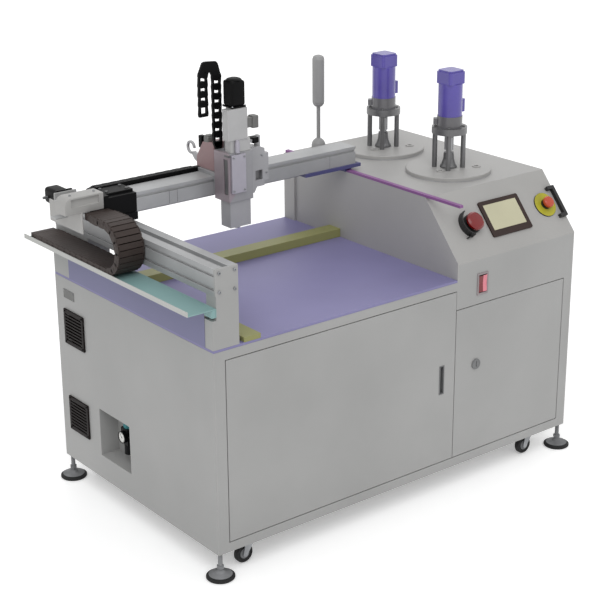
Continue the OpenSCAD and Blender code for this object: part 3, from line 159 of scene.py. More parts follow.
@dataclass(frozen=True)
class Finish:
    """A surface finish with its own colour, cloudiness, grain, bump and edge wear."""

    name: str
    colour: tuple[float, float, float]
    coat: Coat
    edge: tuple[float, float, float] | None = None
    shine: float = 0.5

    def material(self) -> bpy.types.Material:
        """Builds the finish's node material, or gives the one that was built before.

        Returns:
            The material.
        """
        name = self.name + "_finish"
        made = bpy.data.materials.get(name)
        if made:
            return made
        made = bpy.data.materials.new(name)
        made.use_nodes = True
        self.wire(made.node_tree)
        made.diffuse_color = linear(self.colour)
        return made

    def wire(self, tree: Tree) -> None:
        """Fills the material's node tree.

        Args:
            tree: The material's node tree, with the shader that Blender puts there.
        """
        grain = GRAINS[self.coat]
        shader = tree.nodes["Principled BSDF"]
        place = tree.nodes.new("ShaderNodeTexCoord").outputs["Object"]
        stretched = tree.nodes.new("ShaderNodeMapping")
        stretched.inputs["Scale"].default_value = grain.stretch
        tree.links.new(place, stretched.inputs["Vector"])
        cloud = noise(tree, place, grain.cloud, CLOUD_DETAIL)
        fleck = noise(tree, stretched.outputs["Vector"], grain.fleck, FLECK_DETAIL)
        tone = self.tone(tree, place, cloud)
        if grain.wear and self.edge:
            tone = self.worn(tree, tone, cloud, grain.wear)
        tree.links.new(tone, shader.inputs["Base Color"])
        rough = tree.nodes.new("ShaderNodeMapRange")
        rough.inputs["To Min"].default_value = grain.roughness - SMOOTHER
        rough.inputs["To Max"].default_value = grain.roughness + ROUGHER
        tree.links.new(fleck, rough.inputs["Value"])
        tree.links.new(rough.outputs["Result"], shader.inputs["Roughness"])
        bump = tree.nodes.new("ShaderNodeBump")
        bump.inputs["Strength"].default_value = grain.bump
        bump.inputs["Distance"].default_value = BUMP_DEPTH
        tree.links.new(fleck, bump.inputs["Height"])
        tree.links.new(bump.outputs["Normal"], shader.inputs["Normal"])
        shader.inputs["Metallic"].default_value = grain.metallic
        shader.inputs["Specular IOR Level"].default_value = self.shine
        shader.inputs["Coat Weight"].default_value = grain.coat
        shader.inputs["Coat Roughness"].default_value = COAT_ROUGHNESS

    def tone(self, tree: Tree, place: Socket,
             cloud: Socket) -> Socket:
        """Mixes the finish's colour from place to place.

        Args:
            tree: The material's node tree.
            place: The place on the piece, for a finish that changes with it.
            cloud: The slow unevenness.

        Returns:
            The colour away from the edges.
        """
        return self.cloudy(tree, cloud, self.colour)

    def cloudy(self, tree: Tree, cloud: Socket,
               colour: Sequence[float]) -> Socket:
        """Makes one colour as uneven as the coat is.

        Args:
            tree: The material's node tree.
            cloud: The slow unevenness.
            colour: The colour, as a screen shows it.

        Returns:
            The uneven colour.
        """
        depth = GRAINS[self.coat].cloud_depth
        deep = tuple(value * (1 - depth * CLOUD_DARKENS) for value in colour)
        pale = tuple(min(255.0, value * (1 + depth * CLOUD_LIGHTENS) + 1) for value in colour)
        return mixed(tree, cloud, deep, pale)

    def worn(self, tree: Tree, tone: Socket, cloud: Socket,
             share: float) -> Socket:
        """Rubs the finish a little along its edges, where the rounded normal leaves the flat one.

        Args:
            tree: The material's node tree.
            tone: The colour away from the edges.
            cloud: The slow unevenness, which breaks the wear up.
            share: How much of the wear's colour shows on an edge.

        Returns:
            The colour with its worn edges.
        """
        bevelled = tree.nodes.new("ShaderNodeBevel")
        bevelled.samples = WEAR_SAMPLES
        bevelled.inputs["Radius"].default_value = WEAR_RADIUS
        flat = tree.nodes.new("ShaderNodeNewGeometry").outputs["Normal"]
        dot = worked(tree, Sums.VECTOR, "DOT_PRODUCT", "Value", bevelled.outputs["Normal"], flat)
        mask = tree.nodes.new("ShaderNodeMapRange")
        mask.inputs["From Min"].default_value = WEAR_STARTS
        mask.inputs["From Max"].default_value = WEAR_FULL
        mask.inputs["To Max"].default_value = share
        tree.links.new(dot, mask.inputs["Value"])
        patchy = worked(tree, Sums.NUMBER, "MULTIPLY", "Value", mask.outputs["Result"], cloud)
        return blended(tree, patchy, tone, linear(self.edge))


def noise(tree: Tree, place: Socket, scale: float,
          detail: float) -> Socket:
    """Adds an even noise.

    Args:
        tree: The material's node tree.
        place: Where the pattern is read.
        scale: Waves per metre.
        detail: Octaves of the noise.

    Returns:
        The noise's value.
    """
    node = tree.nodes.new("ShaderNodeTexNoise")
    node.inputs["Scale"].default_value = scale
    node.inputs["Detail"].default_value = detail
    tree.links.new(place, node.inputs["Vector"])
    return node.outputs["Fac"]


def mixed(tree: Tree, share: Socket, low: Sequence[float],
          high: Sequence[float]) -> Socket:
    """Adds a mix of two colours, stretched over the middle of the share.

    Args:
        tree: The material's node tree.
        share: The value that mixes them.
        low: The colour at the low end, as a screen shows it.
        high: The colour at the high end.

    Returns:
        The mixed colour.
    """
    ramp = tree.nodes.new("ShaderNodeValToRGB")
    for stop, position, colour in zip(ramp.color_ramp.elements, CLOUD_RAMP, (low, high)):
        stop.position = position
        stop.color = linear(colour)
    tree.links.new(share, ramp.inputs["Fac"])
    return ramp.outputs["Color"]


class Sums(Enum):
    """Blender's names of the nodes that calculate with numbers and with vectors."""

    NUMBER = "ShaderNodeMath"
    VECTOR = "ShaderNodeVectorMath"


def fed(tree: Tree, socket: Socket, value: Socket | float | Sequence[float]) -> None:
    """Gives a node's input another node's output or a plain value.

    Args:
        tree: The node tree.
        socket: The input.
        value: What it gets.
    """
    if isinstance(value, Socket):
        tree.links.new(value, socket)
    else:
        socket.default_value = value


def worked(tree: Tree, kind: Sums, operation: str, result: str,
           *values: Socket | float | Sequence[float]) -> Socket:
    """Adds a node that calculates.

    Args:
        tree: The node tree.
        kind: What it calculates with.
        operation: Blender's name of what it does.
        result: The name of the output to use.
        *values: What it works on.

    Returns:
        The output.
    """
    node = tree.nodes.new(kind.value)
    node.operation = operation
    for socket, value in zip(node.inputs, values):
        fed(tree, socket, value)
    return node.outputs[result]


def blended(tree: Tree, share: Socket, first: Socket | Sequence[float],
            second: Socket | Sequence[float]) -> Socket:
    """Adds a mix of two colours by a share.

    Args:
        tree: The node tree.
        share: How much of the second colour shows.
        first: The colour at 0.
        second: The colour at 1.

    Returns:
        The mixed colour.
    """
    node = tree.nodes.new("ShaderNodeMix")
    node.data_type = "RGBA"
    for name, value in (("Factor", share), ("A", first), ("B", second)):
        fed(tree, node.inputs[name], value)
    return node.outputs["Result"]


@dataclass(frozen=True)
class Zoned(Finish):
    """A finish that changes to another colour past a limit.

    The limit is a distance from the centre, measured along the axes whose span is 1.
    """

    other: tuple[float, float, float] = (120, 120, 120)
    centre: tuple[float, float, float] = (0, 0, 0)
    span: tuple[float, float, float] = (0, 0, 1)
    limit: float = 0.0

    def tone(self, tree: Tree, place: Socket,
             cloud: Socket) -> Socket:
        """Mixes the second colour in beyond the limit.

        Args:
            tree: The material's node tree.
            place: The place on the piece.
            cloud: The slow unevenness.

        Returns:
            The colour away from the edges.
        """
        away = worked(tree, Sums.VECTOR, "SUBTRACT", "Vector", place, self.centre)
        only = worked(tree, Sums.VECTOR, "MULTIPLY", "Vector", away, self.span)
        length = worked(tree, Sums.VECTOR, "LENGTH", "Value", only)
        past = worked(tree, Sums.NUMBER, "GREATER_THAN", "Value", length, self.limit)
        near, far = (self.cloudy(tree, cloud, colour) for colour in (self.colour, self.other))
        return blended(tree, past, near, far)


CABINET = Finish("cabinet_powder", (164, 164, 163), Coat.POWDER, edge=(190, 190, 188))
TOWER = Finish("tower_powder", (168, 167, 165), Coat.POWDER, edge=(192, 191, 189))
VIOLET = Finish("table_violet", (130, 126, 168), Coat.POWDER, edge=(165, 162, 195))
OLIVE = Finish("bar_olive", (142, 142, 88), Coat.POWDER, edge=(168, 168, 118))
MAGENTA = Finish("rail_magenta", (134, 84, 140), Coat.POWDER, edge=(160, 115, 165))
NAVY = Finish("plate_navy", (72, 72, 118), Coat.POWDER, edge=(105, 105, 145))
CHAIN = Finish("chain_brown", (58, 49, 46), Coat.PLASTIC, shine=0.25)
FAN_BLACK = Finish("fan_brown_black", (22, 16, 15), Coat.PLASTIC, shine=0.15)
# A darker copy of the table's violet, as painted shade under the chain tray.
SHADED_SKIRT = Finish("skirt_violet_shaded", (118, 117, 152), Coat.POWDER, edge=(150, 148, 182))
PLATE_GREY = Finish("plate_grey", (112, 112, 110), Coat.PLASTIC, edge=(140, 140, 138))
BLACK = Finish("black_moulding", (6, 6, 7), Coat.PLASTIC, edge=(24, 24, 25), shine=0.12)
GREY = Finish("grey_moulding", (112, 113, 114), Coat.PLASTIC, edge=(140, 141, 142))
BLACK_PAINT = Finish("black_paint", (6, 6, 7), Coat.POWDER, edge=(24, 24, 25), shine=0.12)
BEAM = Finish("beam_anodised", (170, 171, 172), Coat.ANODISED, edge=(196, 197, 198))
MILLED = Finish("milled_plate", (166, 166, 168), Coat.ANODISED, edge=(188, 188, 190))
DARK_STEEL = Finish("dark_steel", (116, 116, 117), Coat.GROUND, edge=(146, 146, 147))
TEAL = Finish("bracket_teal", (134, 170, 169), Coat.POWDER, edge=(160, 190, 188))
BRIGHT_STEEL = Finish("bright_steel", (178, 179, 181), Coat.GROUND)
ZINC = Finish("zinc_steel", (158, 160, 163), Coat.ZINC)
BEZEL = Finish("screen_bezel", (48, 33, 29), Coat.PLASTIC, edge=(70, 54, 48), shine=0.3)
SCREEN = Finish("screen_glass", (196, 192, 160), Coat.GLASS)
RED = Finish("button_red", (120, 2, 5), Coat.GLOSS, edge=(150, 30, 32))
ESTOP_RED = Finish("estop_red", (190, 66, 30), Coat.GLOSS, edge=(215, 105, 70))
YELLOW = Finish("estop_yellow", (180, 174, 42), Coat.PLASTIC, edge=(198, 192, 95))
KNOB_TEAL = Finish("knob_teal", (58, 140, 146), Coat.PLASTIC, edge=(90, 165, 170))
LAMP = Finish("lamp_grey", (154, 154, 154), Coat.POWDER, edge=(172, 172, 172))
ROSE = Finish("carriage_rose", (156, 128, 130), Coat.POWDER, edge=(178, 156, 158))
LIGHT_PLATE = Finish("light_plate", (178, 178, 178), Coat.ANODISED, edge=(200, 200, 200))
FRONT_PLATE = Finish("front_plate", (172, 169, 179), Coat.ANODISED, edge=(194, 192, 200))
DIAL = Finish("gauge_dial", (228, 228, 224), Coat.PLASTIC)
COLLAR_RED = Finish("fitting_red", (150, 40, 34), Coat.GLOSS)


# Modelling tools

MERGE = 0.02 * MM
SHARP = 35.0
SCREW_SUNK = 0.3 * MM
SCREW_HEIGHT = 0.9
SCREW_SHARES: Points = ((1, 0.8), (0.86, 1), (0.52, 1), (0.48, 0.4))


def deselect() -> None:
    """Leaves nothing selected."""
    bpy.ops.object.select_all(action="DESELECT")


def focus(piece: Piece) -> None:
    """Selects one piece and makes it active.

    Args:
        piece: The piece to work on.
    """
    deselect()
    piece.select_set(True)
    bpy.context.view_layer.objects.active = piece


def settle(piece: Piece) -> Piece:
    """Moves a piece's place, turn and scale into its mesh.

    Args:
        piece: The piece.

    Returns:
        The same piece, with its object at the origin.
    """
    focus(piece)
    bpy.ops.object.transform_apply(location=True, rotation=True, scale=True)
    return piece


def named(name: str) -> Piece:
    """Names the piece that an operator has just added.

    Args:
        name: The piece's name.

    Returns:
        The piece, settled.
    """
    piece = bpy.context.active_object
    piece.name = name
    piece.data.name = name
    return settle(piece)


def use(piece: Piece, kind: str, **settings: object) -> Piece:
    """Adds a modifier and applies it.

    Args:
        piece: The piece.
        kind: Blender's name of the modifier.
        **settings: The modifier's values.

    Returns:
        The same piece.
    """
    focus(piece)
    modifier = piece.modifiers.new(kind.lower(), kind)
    for key, value in settings.items():
        setattr(modifier, key, value)
    bpy.ops.object.modifier_apply(modifier=modifier.name)
    return piece


def rounded(piece: Piece, width: float, segments: int = 2,
            angle: float = 30.0) -> Piece:
    """Rounds a piece's sharp edges.

    Args:
        piece: The piece.
        width: The bevel's width.
        segments: Faces across the bevel.
        angle: The least angle of an edge that is rounded, in degrees.

    Returns:
        The same piece.
    """
    return use(piece, "BEVEL", width=width, segments=segments, limit_method="ANGLE",
               angle_limit=math.radians(angle), use_clamp_overlap=True)


def block(name: str, low: Sequence[float], high: Sequence[float], edge: float = 0.6 * MM,
          segments: int = 2) -> Piece:
    """Adds a block between two corners, with rounded edges.

    Args:
        name: The block's name.
        low: Its lowest corner.
        high: Its highest corner.
        edge: The width of its rounded edges.
        segments: Faces across an edge.

    Returns:
        The block.
    """
    low, high = Vector(low), Vector(high)
    deselect()
    bpy.ops.mesh.primitive_cube_add(size=1, location=(low + high) / 2, scale=high - low)
    piece = named(name)
    return rounded(piece, edge, segments) if edge else piece


def brick(name: str, origin: Vector, box: Box, edge: float = 0.6 * MM, segments: int = 2) -> Piece:
    """Adds a block whose corners are given in millimetres from a place.

    Args:
        name: The block's name.
        origin: The place.
        box: Its lowest and highest corners.
        edge: The width of its rounded edges.
        segments: Faces across an edge.

    Returns:
        The block.
    """
    lowest, highest = box
    return block(name, origin + Vector(lowest) * MM, origin + Vector(highest) * MM, edge, segments)


def case(name: str, low: Sequence[float], high: Sequence[float], radius: float) -> Piece:
    """Adds a motor's case, a block with softly rounded sides.

    Args:
        name: The case's name.
        low: Its lowest corner.
        high: Its highest corner.
        radius: The width of its rounding.

    Returns:
        The case.
    """
    return smooth(rounded(block(name, low, high, edge=0), radius, segments=6), angle=40)


def rings(profile: Points) -> Points:
    """Turns a profile's radii and heights from millimetres into metres."""
    return [(radius * MM, height * MM) for radius, height in profile]


def turned(name: str, base: Sequence[float], axis: Vector, profile: Points, sides: int = 48) -> Piece:
    """Turns a closed solid by raising and resizing a disc along an axis.

    Args:
        name: The solid's name.
        base: The middle of its first disc.
        axis: The direction in which it rises.
        profile: Radius and height of each ring in metres, from the first disc to the last.
        sides: Faces round it.

    Returns:
        The solid.
    """
    deselect()
    first, start = profile[0]
    bpy.ops.mesh.primitive_circle_add(vertices=sides, radius=first, fill_type="NGON", location=(0, 0, start))
    piece = bpy.context.active_object
    bpy.ops.object.mode_set(mode="EDIT")
    bpy.ops.mesh.select_all(action="SELECT")
    radius, height = first, start
    for wide, high in profile[1:]:
        bpy.ops.mesh.extrude_region_move(TRANSFORM_OT_translate={"value": (0, 0, high - height)})
        ratio = wide / radius
        bpy.ops.transform.resize(value=(ratio, ratio, 1))
        radius, height = wide, high
    bpy.ops.mesh.select_all(action="SELECT")
    bpy.ops.mesh.normals_make_consistent(inside=False)
    bpy.ops.object.mode_set(mode="OBJECT")
    named(name)
    piece.matrix_world = Matrix.Translation(base) @ axis.to_track_quat("Z", "Y").to_matrix().to_4x4()
    return smooth(settle(piece))


def prism(name: str, outline: Points, depth: float, place: Matrix, edge: float = 0.8 * MM,
          segments: int = 2) -> Piece:
    """Draws a flat outline point by point, fills it and pulls it out to a solid.

    Args:
        name: The solid's name.
        outline: Its corners along x and z, in millimetres.
        depth: How far it is pulled out along y.
        place: Where its origin goes, and its turn.
        edge: The width of its rounded edges.
        segments: Faces across an edge.

    Returns:
        The solid.
    """
    deselect()
    bpy.ops.mesh.primitive_plane_add(size=1)
    bpy.ops.object.mode_set(mode="EDIT")
    bpy.ops.mesh.select_mode(type="VERT")
    bpy.ops.mesh.select_all(action="SELECT")
    bpy.ops.mesh.merge(type="CENTER")
    spot = Vector((outline[0][0], 0, outline[0][1])) * MM
    bpy.ops.transform.translate(value=spot)
    for along, up in (*outline[1:], outline[0]):
        corner = Vector((along, 0, up)) * MM
        bpy.ops.mesh.extrude_region_move(TRANSFORM_OT_translate={"value": corner - spot})
        spot = corner
    bpy.ops.mesh.select_all(action="SELECT")
    bpy.ops.mesh.remove_doubles(threshold=0.01 * MM)
    bpy.ops.mesh.edge_face_add()
    bpy.ops.mesh.extrude_region_move(TRANSFORM_OT_translate={"value": (0, depth, 0)})
    bpy.ops.mesh.select_all(action="SELECT")
    bpy.ops.mesh.normals_make_consistent(inside=False)
    bpy.ops.object.mode_set(mode="OBJECT")
    piece = placed(named(name), place)
    return rounded(piece, edge, segments) if edge else piece


def arc(centre: tuple[float, float], radius: float, start: float, end: float, steps: int = 8) -> Points:
    """Points along a round stretch of an outline.

    Args:
        centre: The middle of the arc.
        radius: Its radius.
        start: The angle of its first point, in degrees from x towards z.
        end: The angle of its last point.
        steps: Stretches between the points.

    Returns:
        The points.
    """
    angles = (math.radians(start + (end - start) * step / steps) for step in range(steps + 1))
    return [(centre[0] + radius * math.cos(angle), centre[1] + radius * math.sin(angle)) for angle in angles]


def smooth(piece: Piece, angle: float = 32.0) -> Piece:
    """Shades a piece smooth where its faces meet at less than an angle.

    Args:
        piece: The piece.
        angle: That angle, in degrees.

    Returns:
        The same piece.
    """
    focus(piece)
    bpy.ops.object.shade_smooth_by_angle(angle=math.radians(angle))
    return piece


def placed(piece: Piece, place: Matrix) -> Piece:
    """Puts a piece that was made at the origin in its place.

    Args:
        piece: The piece.
        place: Its place and turn.

    Returns:
        The same piece, settled.
    """
    piece.matrix_world = place @ piece.matrix_world
    return settle(piece)


def twin(piece: Piece, name: str, place: Matrix) -> Piece:
    """Copies a piece, with a mesh of its own, to another place.

    Args:
        piece: The piece to copy.
        name: The copy's name.
        place: How the copy is moved from the piece.

    Returns:
        The copy.
    """
    copy = piece.copy()
    copy.data = piece.data.copy()
    copy.name = name
    bpy.context.scene.collection.objects.link(copy)
    return placed(copy, place)


def joined(name: str, pieces: Sequence[Piece]) -> Piece:
    """Joins pieces that are one part into one mesh.

    Args:
        name: The name of the whole.
        pieces: The pieces.

    Returns:
        The whole.
    """
    deselect()
    for piece in pieces:
        piece.select_set(True)
    bpy.context.view_layer.objects.active = pieces[0]
    bpy.ops.object.join()
    whole = bpy.context.active_object
    whole.name = name
    whole.data.name = name
    return whole


def cut(piece: Piece, cutter: Piece) -> Piece:
    """Cuts one piece's shape out of another and throws the cutter away.

    Args:
        piece: The piece that is cut.
        cutter: The shape to take out.

    Returns:
        The cut piece.
    """
    use(piece, "BOOLEAN", object=cutter, operation="DIFFERENCE", solver="EXACT")
    bpy.data.objects.remove(cutter)
    return piece


def dress(piece: Piece, finish: Finish, body: str, slot: str,
          *nodes: str) -> Piece:
    """Gives a new piece its finish and its body, and hides the nodes that it stands for.

    Args:
        piece: The piece.
        finish: Its finish.
        body: The body that it moves with, or nothing for a piece that is attached to none.
        slot: The record's material slot; not used.
        *nodes: The nodes that it stands for.

    Returns:
        The same piece.
    """
    piece.data.materials.clear()
    piece.data.materials.append(finish.material())
    if body:
        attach(piece, body)
    if nodes:
        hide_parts(*nodes)
    log.info("piece %s, %d faces", piece.name, len(piece.data.polygons))
    return piece


def paint(node: str, finish: Finish, edge: float = 0.0, segments: int = 2) -> None:
    """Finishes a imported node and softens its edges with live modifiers, which leave its mesh alone.

    Args:
        node: The node's name.
        finish: Its finish.
        edge: The width of its softened edges, or nothing.
        segments: Faces across an edge.
    """
    piece = frame["nodes"][node]
    piece.data.materials.clear()
    piece.data.materials.append(finish.material())
    if not edge:
        return
    weld = piece.modifiers.new("weld", "WELD")
    weld.merge_threshold = MERGE
    bevel = piece.modifiers.new("soft_edges", "BEVEL")
    bevel.width = edge
    bevel.segments = segments
    bevel.limit_method = "ANGLE"
    bevel.angle_limit = math.radians(SHARP)
    bevel.use_clamp_overlap = True


# Measuring the frame


def low(node: str) -> Vector:
    """The lowest corner of a node."""
    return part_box(node)[0]


def high(node: str) -> Vector:
    """The highest corner of a node."""
    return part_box(node)[1]


def middle(node: str) -> Vector:
    """The middle of a node's box."""
    return (low(node) + high(node)) / 2


def joint(name: str) -> dict:
    """The frame's joint of that name."""
    return next(row for row in frame["joints"] if row["name"] == name)


# Small parts that several sub-assemblies use


def pick(piece: Piece, chosen: Callable[[Vector], bool]) -> None:
    """Opens a piece in edit mode with some of its points selected.

    Args:
        piece: The piece.
        chosen: Whether the point at a place is selected.
    """
    focus(piece)
    bpy.ops.object.mode_set(mode="EDIT")
    bpy.ops.mesh.select_mode(type="VERT")
    bpy.ops.mesh.select_all(action="DESELECT")
    bpy.ops.object.mode_set(mode="OBJECT")
    for point in piece.data.vertices:
        point.select = chosen(point.co)
    bpy.ops.object.mode_set(mode="EDIT")


def screws(name: str, places: Sequence[Sequence[float]], axis: Axis, radius: float, body: str,
           finish: Finish | None = None, slot: str = "zinc_steel") -> Piece:
    """Adds a group of like socket-head screws.

    Args:
        name: The group's name.
        places: Where each screw meets its seat.
        axis: The direction in which the heads stand out.
        radius: The heads' radius.
        body: The body that they are screwed into.
        finish: Their finish, or zinc.
        slot: The record's material slot.

    Returns:
        The group, as one piece.
    """
    tall = radius * SCREW_HEIGHT
    profile = [(radius, -SCREW_SUNK), *((radius * wide, tall * high) for wide, high in SCREW_SHARES)]
    first = turned(name, places[0], axis.value, profile, sides=20)
    others = [twin(first, name, Matrix.Translation(Vector(place) - Vector(places[0])))
              for place in places[1:]]
    return dress(joined(name, [first, *others]), finish or ZINC, body, slot)


def corners(low_corner: Sequence[float], high_corner: Sequence[float], flat: int,
            level: float) -> list[Vector]:
    """The four corners of a rectangle that lies across one axis.

    Args:
        low_corner: The rectangle's lowest corner.
        high_corner: Its highest corner.
        flat: The number of the axis that it lies across.
        level: Its place on that axis.

    Returns:
        The corners.
    """
    first, second = (axis for axis in range(3) if axis != flat)
    places = []
    for one in (low_corner[first], high_corner[first]):
        for two in (low_corner[second], high_corner[second]):
            place = Vector((0, 0, 0))
            place[flat], place[first], place[second] = level, one, two
            places.append(place)
    return places


@dataclass
class CableChain:
    """A cable chain that lies back over itself: two straight runs of links and a round bend.

    It is made with the bend's middle at the origin, the runs along x and its width along y.
    """

    node: str
    place: Matrix
    radius: float
    thick: float
    width: float
    low_run: float
    high_run: float
    bend_links: int
    finish: Finish
    slot: str
    plate: float = 2.2 * MM
    boss: float = 0.5 * MM
    seam: float = 0.5 * MM
    body_inset: float = 0.4 * MM
    bracket_inset: float = 2 * MM
    pin_foot: float = 0.24
    pin_face: float = 0.20
    pin_rim: float = 0.6
    end_turn: float = 9.0
    far: float = 100.0

    @property
    def pins(self) -> float:
        """Radius of the circle on which the bend's pins lie."""
        return self.radius - self.thick / 2

    @property
    def pitch(self) -> float:
        """Distance from one pin to the next."""
        return 2 * self.pins * math.sin(math.pi / (2 * self.bend_links))

    def side_plate(self, name: str, near: float) -> Piece:
        """Makes a link's side plate, with a round end about each pin.

        Args:
            name: The plate's name.
            near: Where it starts across the chain.

        Returns:
            The plate.
        """
        deselect()
        bpy.ops.mesh.primitive_cylinder_add(vertices=20, radius=self.thick / 2, depth=self.plate,
                                            location=(0, near + self.plate / 2, 0),
                                            rotation=(math.pi / 2, math.radians(self.end_turn), 0))
        piece = named(name)
        pick(piece, lambda place: place.x > 0)
        bpy.ops.transform.translate(value=(self.pitch, 0, 0))
        bpy.ops.object.mode_set(mode="OBJECT")
        return rounded(piece, 0.4 * MM, segments=1, angle=60)

    def link(self, name: str, odd: bool) -> Piece:
        """Makes a link from its own pin at the origin to the next one's, with plates inside or outside.

        Args:
            name: The link's name.
            odd: Whether its plates lie inside its neighbours' plates.

        Returns:
            The link.
        """
        step = self.plate if odd else 0.0
        inner = self.boss + 2 * self.plate
        half = self.thick / 2 - self.body_inset
        pieces = [self.side_plate(name, self.boss + step),
                  self.side_plate(name, self.width - self.boss - self.plate - step),
                  block(name, (self.seam, inner, -half),
                        (self.pitch - self.seam, self.width - inner, half), edge=0.3 * MM, segments=1)]
        if odd:
            return joined(name, pieces)
        foot, face = self.thick * self.pin_foot, self.thick * self.pin_face
        profile = [(foot, -self.plate / 2), (foot, self.boss * self.pin_rim), (face, self.boss)]
        for across, axis in ((self.boss, Axis.FRONT), (self.width - self.boss, Axis.Y)):
            pieces += [turned(name, (along, across, 0), axis.value, profile, sides=14)
                       for along in (0, self.pitch)]
        return joined(name, pieces)

    def run(self, name: str, length: float, height: float) -> Piece:
        """Makes a straight run of links with its end bracket.

        Args:
            name: The run's name.
            length: Its length from the bend's middle.
            height: The height of its pins.

        Returns:
            The run.
        """
        pairs = int((length - self.thick / 2) / self.pitch / 2)
        links = joined(name, [self.link(name, False),
                              placed(self.link(name, True), Matrix.Translation((self.pitch, 0, 0)))])
        use(links, "ARRAY", count=pairs, use_relative_offset=False, use_constant_offset=True,
            constant_offset_displace=(2 * self.pitch, 0, 0))
        inner = self.boss + 2 * self.plate
        half = self.thick / 2 - self.bracket_inset
        bracket = block(name, (2 * pairs * self.pitch + self.seam, inner, -half),
                        (length, self.width - inner, half))
        return placed(joined(name, [links, bracket]), Matrix.Translation((0, 0, height)))

    def bend(self, name: str) -> Piece:
        """Makes the bend: like links set round the pins' circle.

        Args:
            name: The bend's name.

        Returns:
            The bend.
        """
        turn = math.pi / self.bend_links
        patterns = [self.link(name, True), self.link(name, False)]
        links = []
        for number in range(self.bend_links):
            start = number * turn
            pin = (-self.pins * math.sin(start), 0, -self.pins * math.cos(start))
            heading = math.pi - turn / 2 - start
            links.append(twin(patterns[number % 2], name,
                              Matrix.Translation(pin) @ Matrix.Rotation(-heading, 4, "Y")))
        for pattern in patterns:
            bpy.data.objects.remove(pattern)
        return joined(name, links)

    def build(self, fixed: str, moving: str) -> None:
        """Makes the chain's runs and bend in their place, attached to no body.

        Args:
            fixed: The body meant to hold the lower run's end; not used.
            moving: The body meant to hold the upper run's end; not used.
        """
        lower = self.run(f"{self.node}_lower_run", self.low_run, -self.pins)
        upper = self.run(f"{self.node}_upper_run", self.high_run, self.pins)
        bend = self.bend(f"{self.node}_bend")
        for piece, start, end in ((lower, self.low_run, -self.low_run),
                                  (upper, -self.high_run, self.high_run), (bend, -self.far, self.far)):
            smooth(placed(piece, self.place))
            dress(piece, self.finish, "", self.slot, self.node)
            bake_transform(piece)


# Light, floor and camera


def seen(tree: Tree) -> Socket:
    """Tells where the camera sees a surface, directly, in a reflection or through glass.

    Args:
        tree: The material's or the world's node tree.

    Returns:
        1 where it is seen and 0 where it only lights the object.
    """
    path = tree.nodes.new("ShaderNodeLightPath")
    found = path.outputs["Is Camera Ray"]
    for other in ("Is Glossy Ray", "Is Transmission Ray"):
        found = worked(tree, Sums.NUMBER, "MAXIMUM", "Value", found, path.outputs[other])
    return found


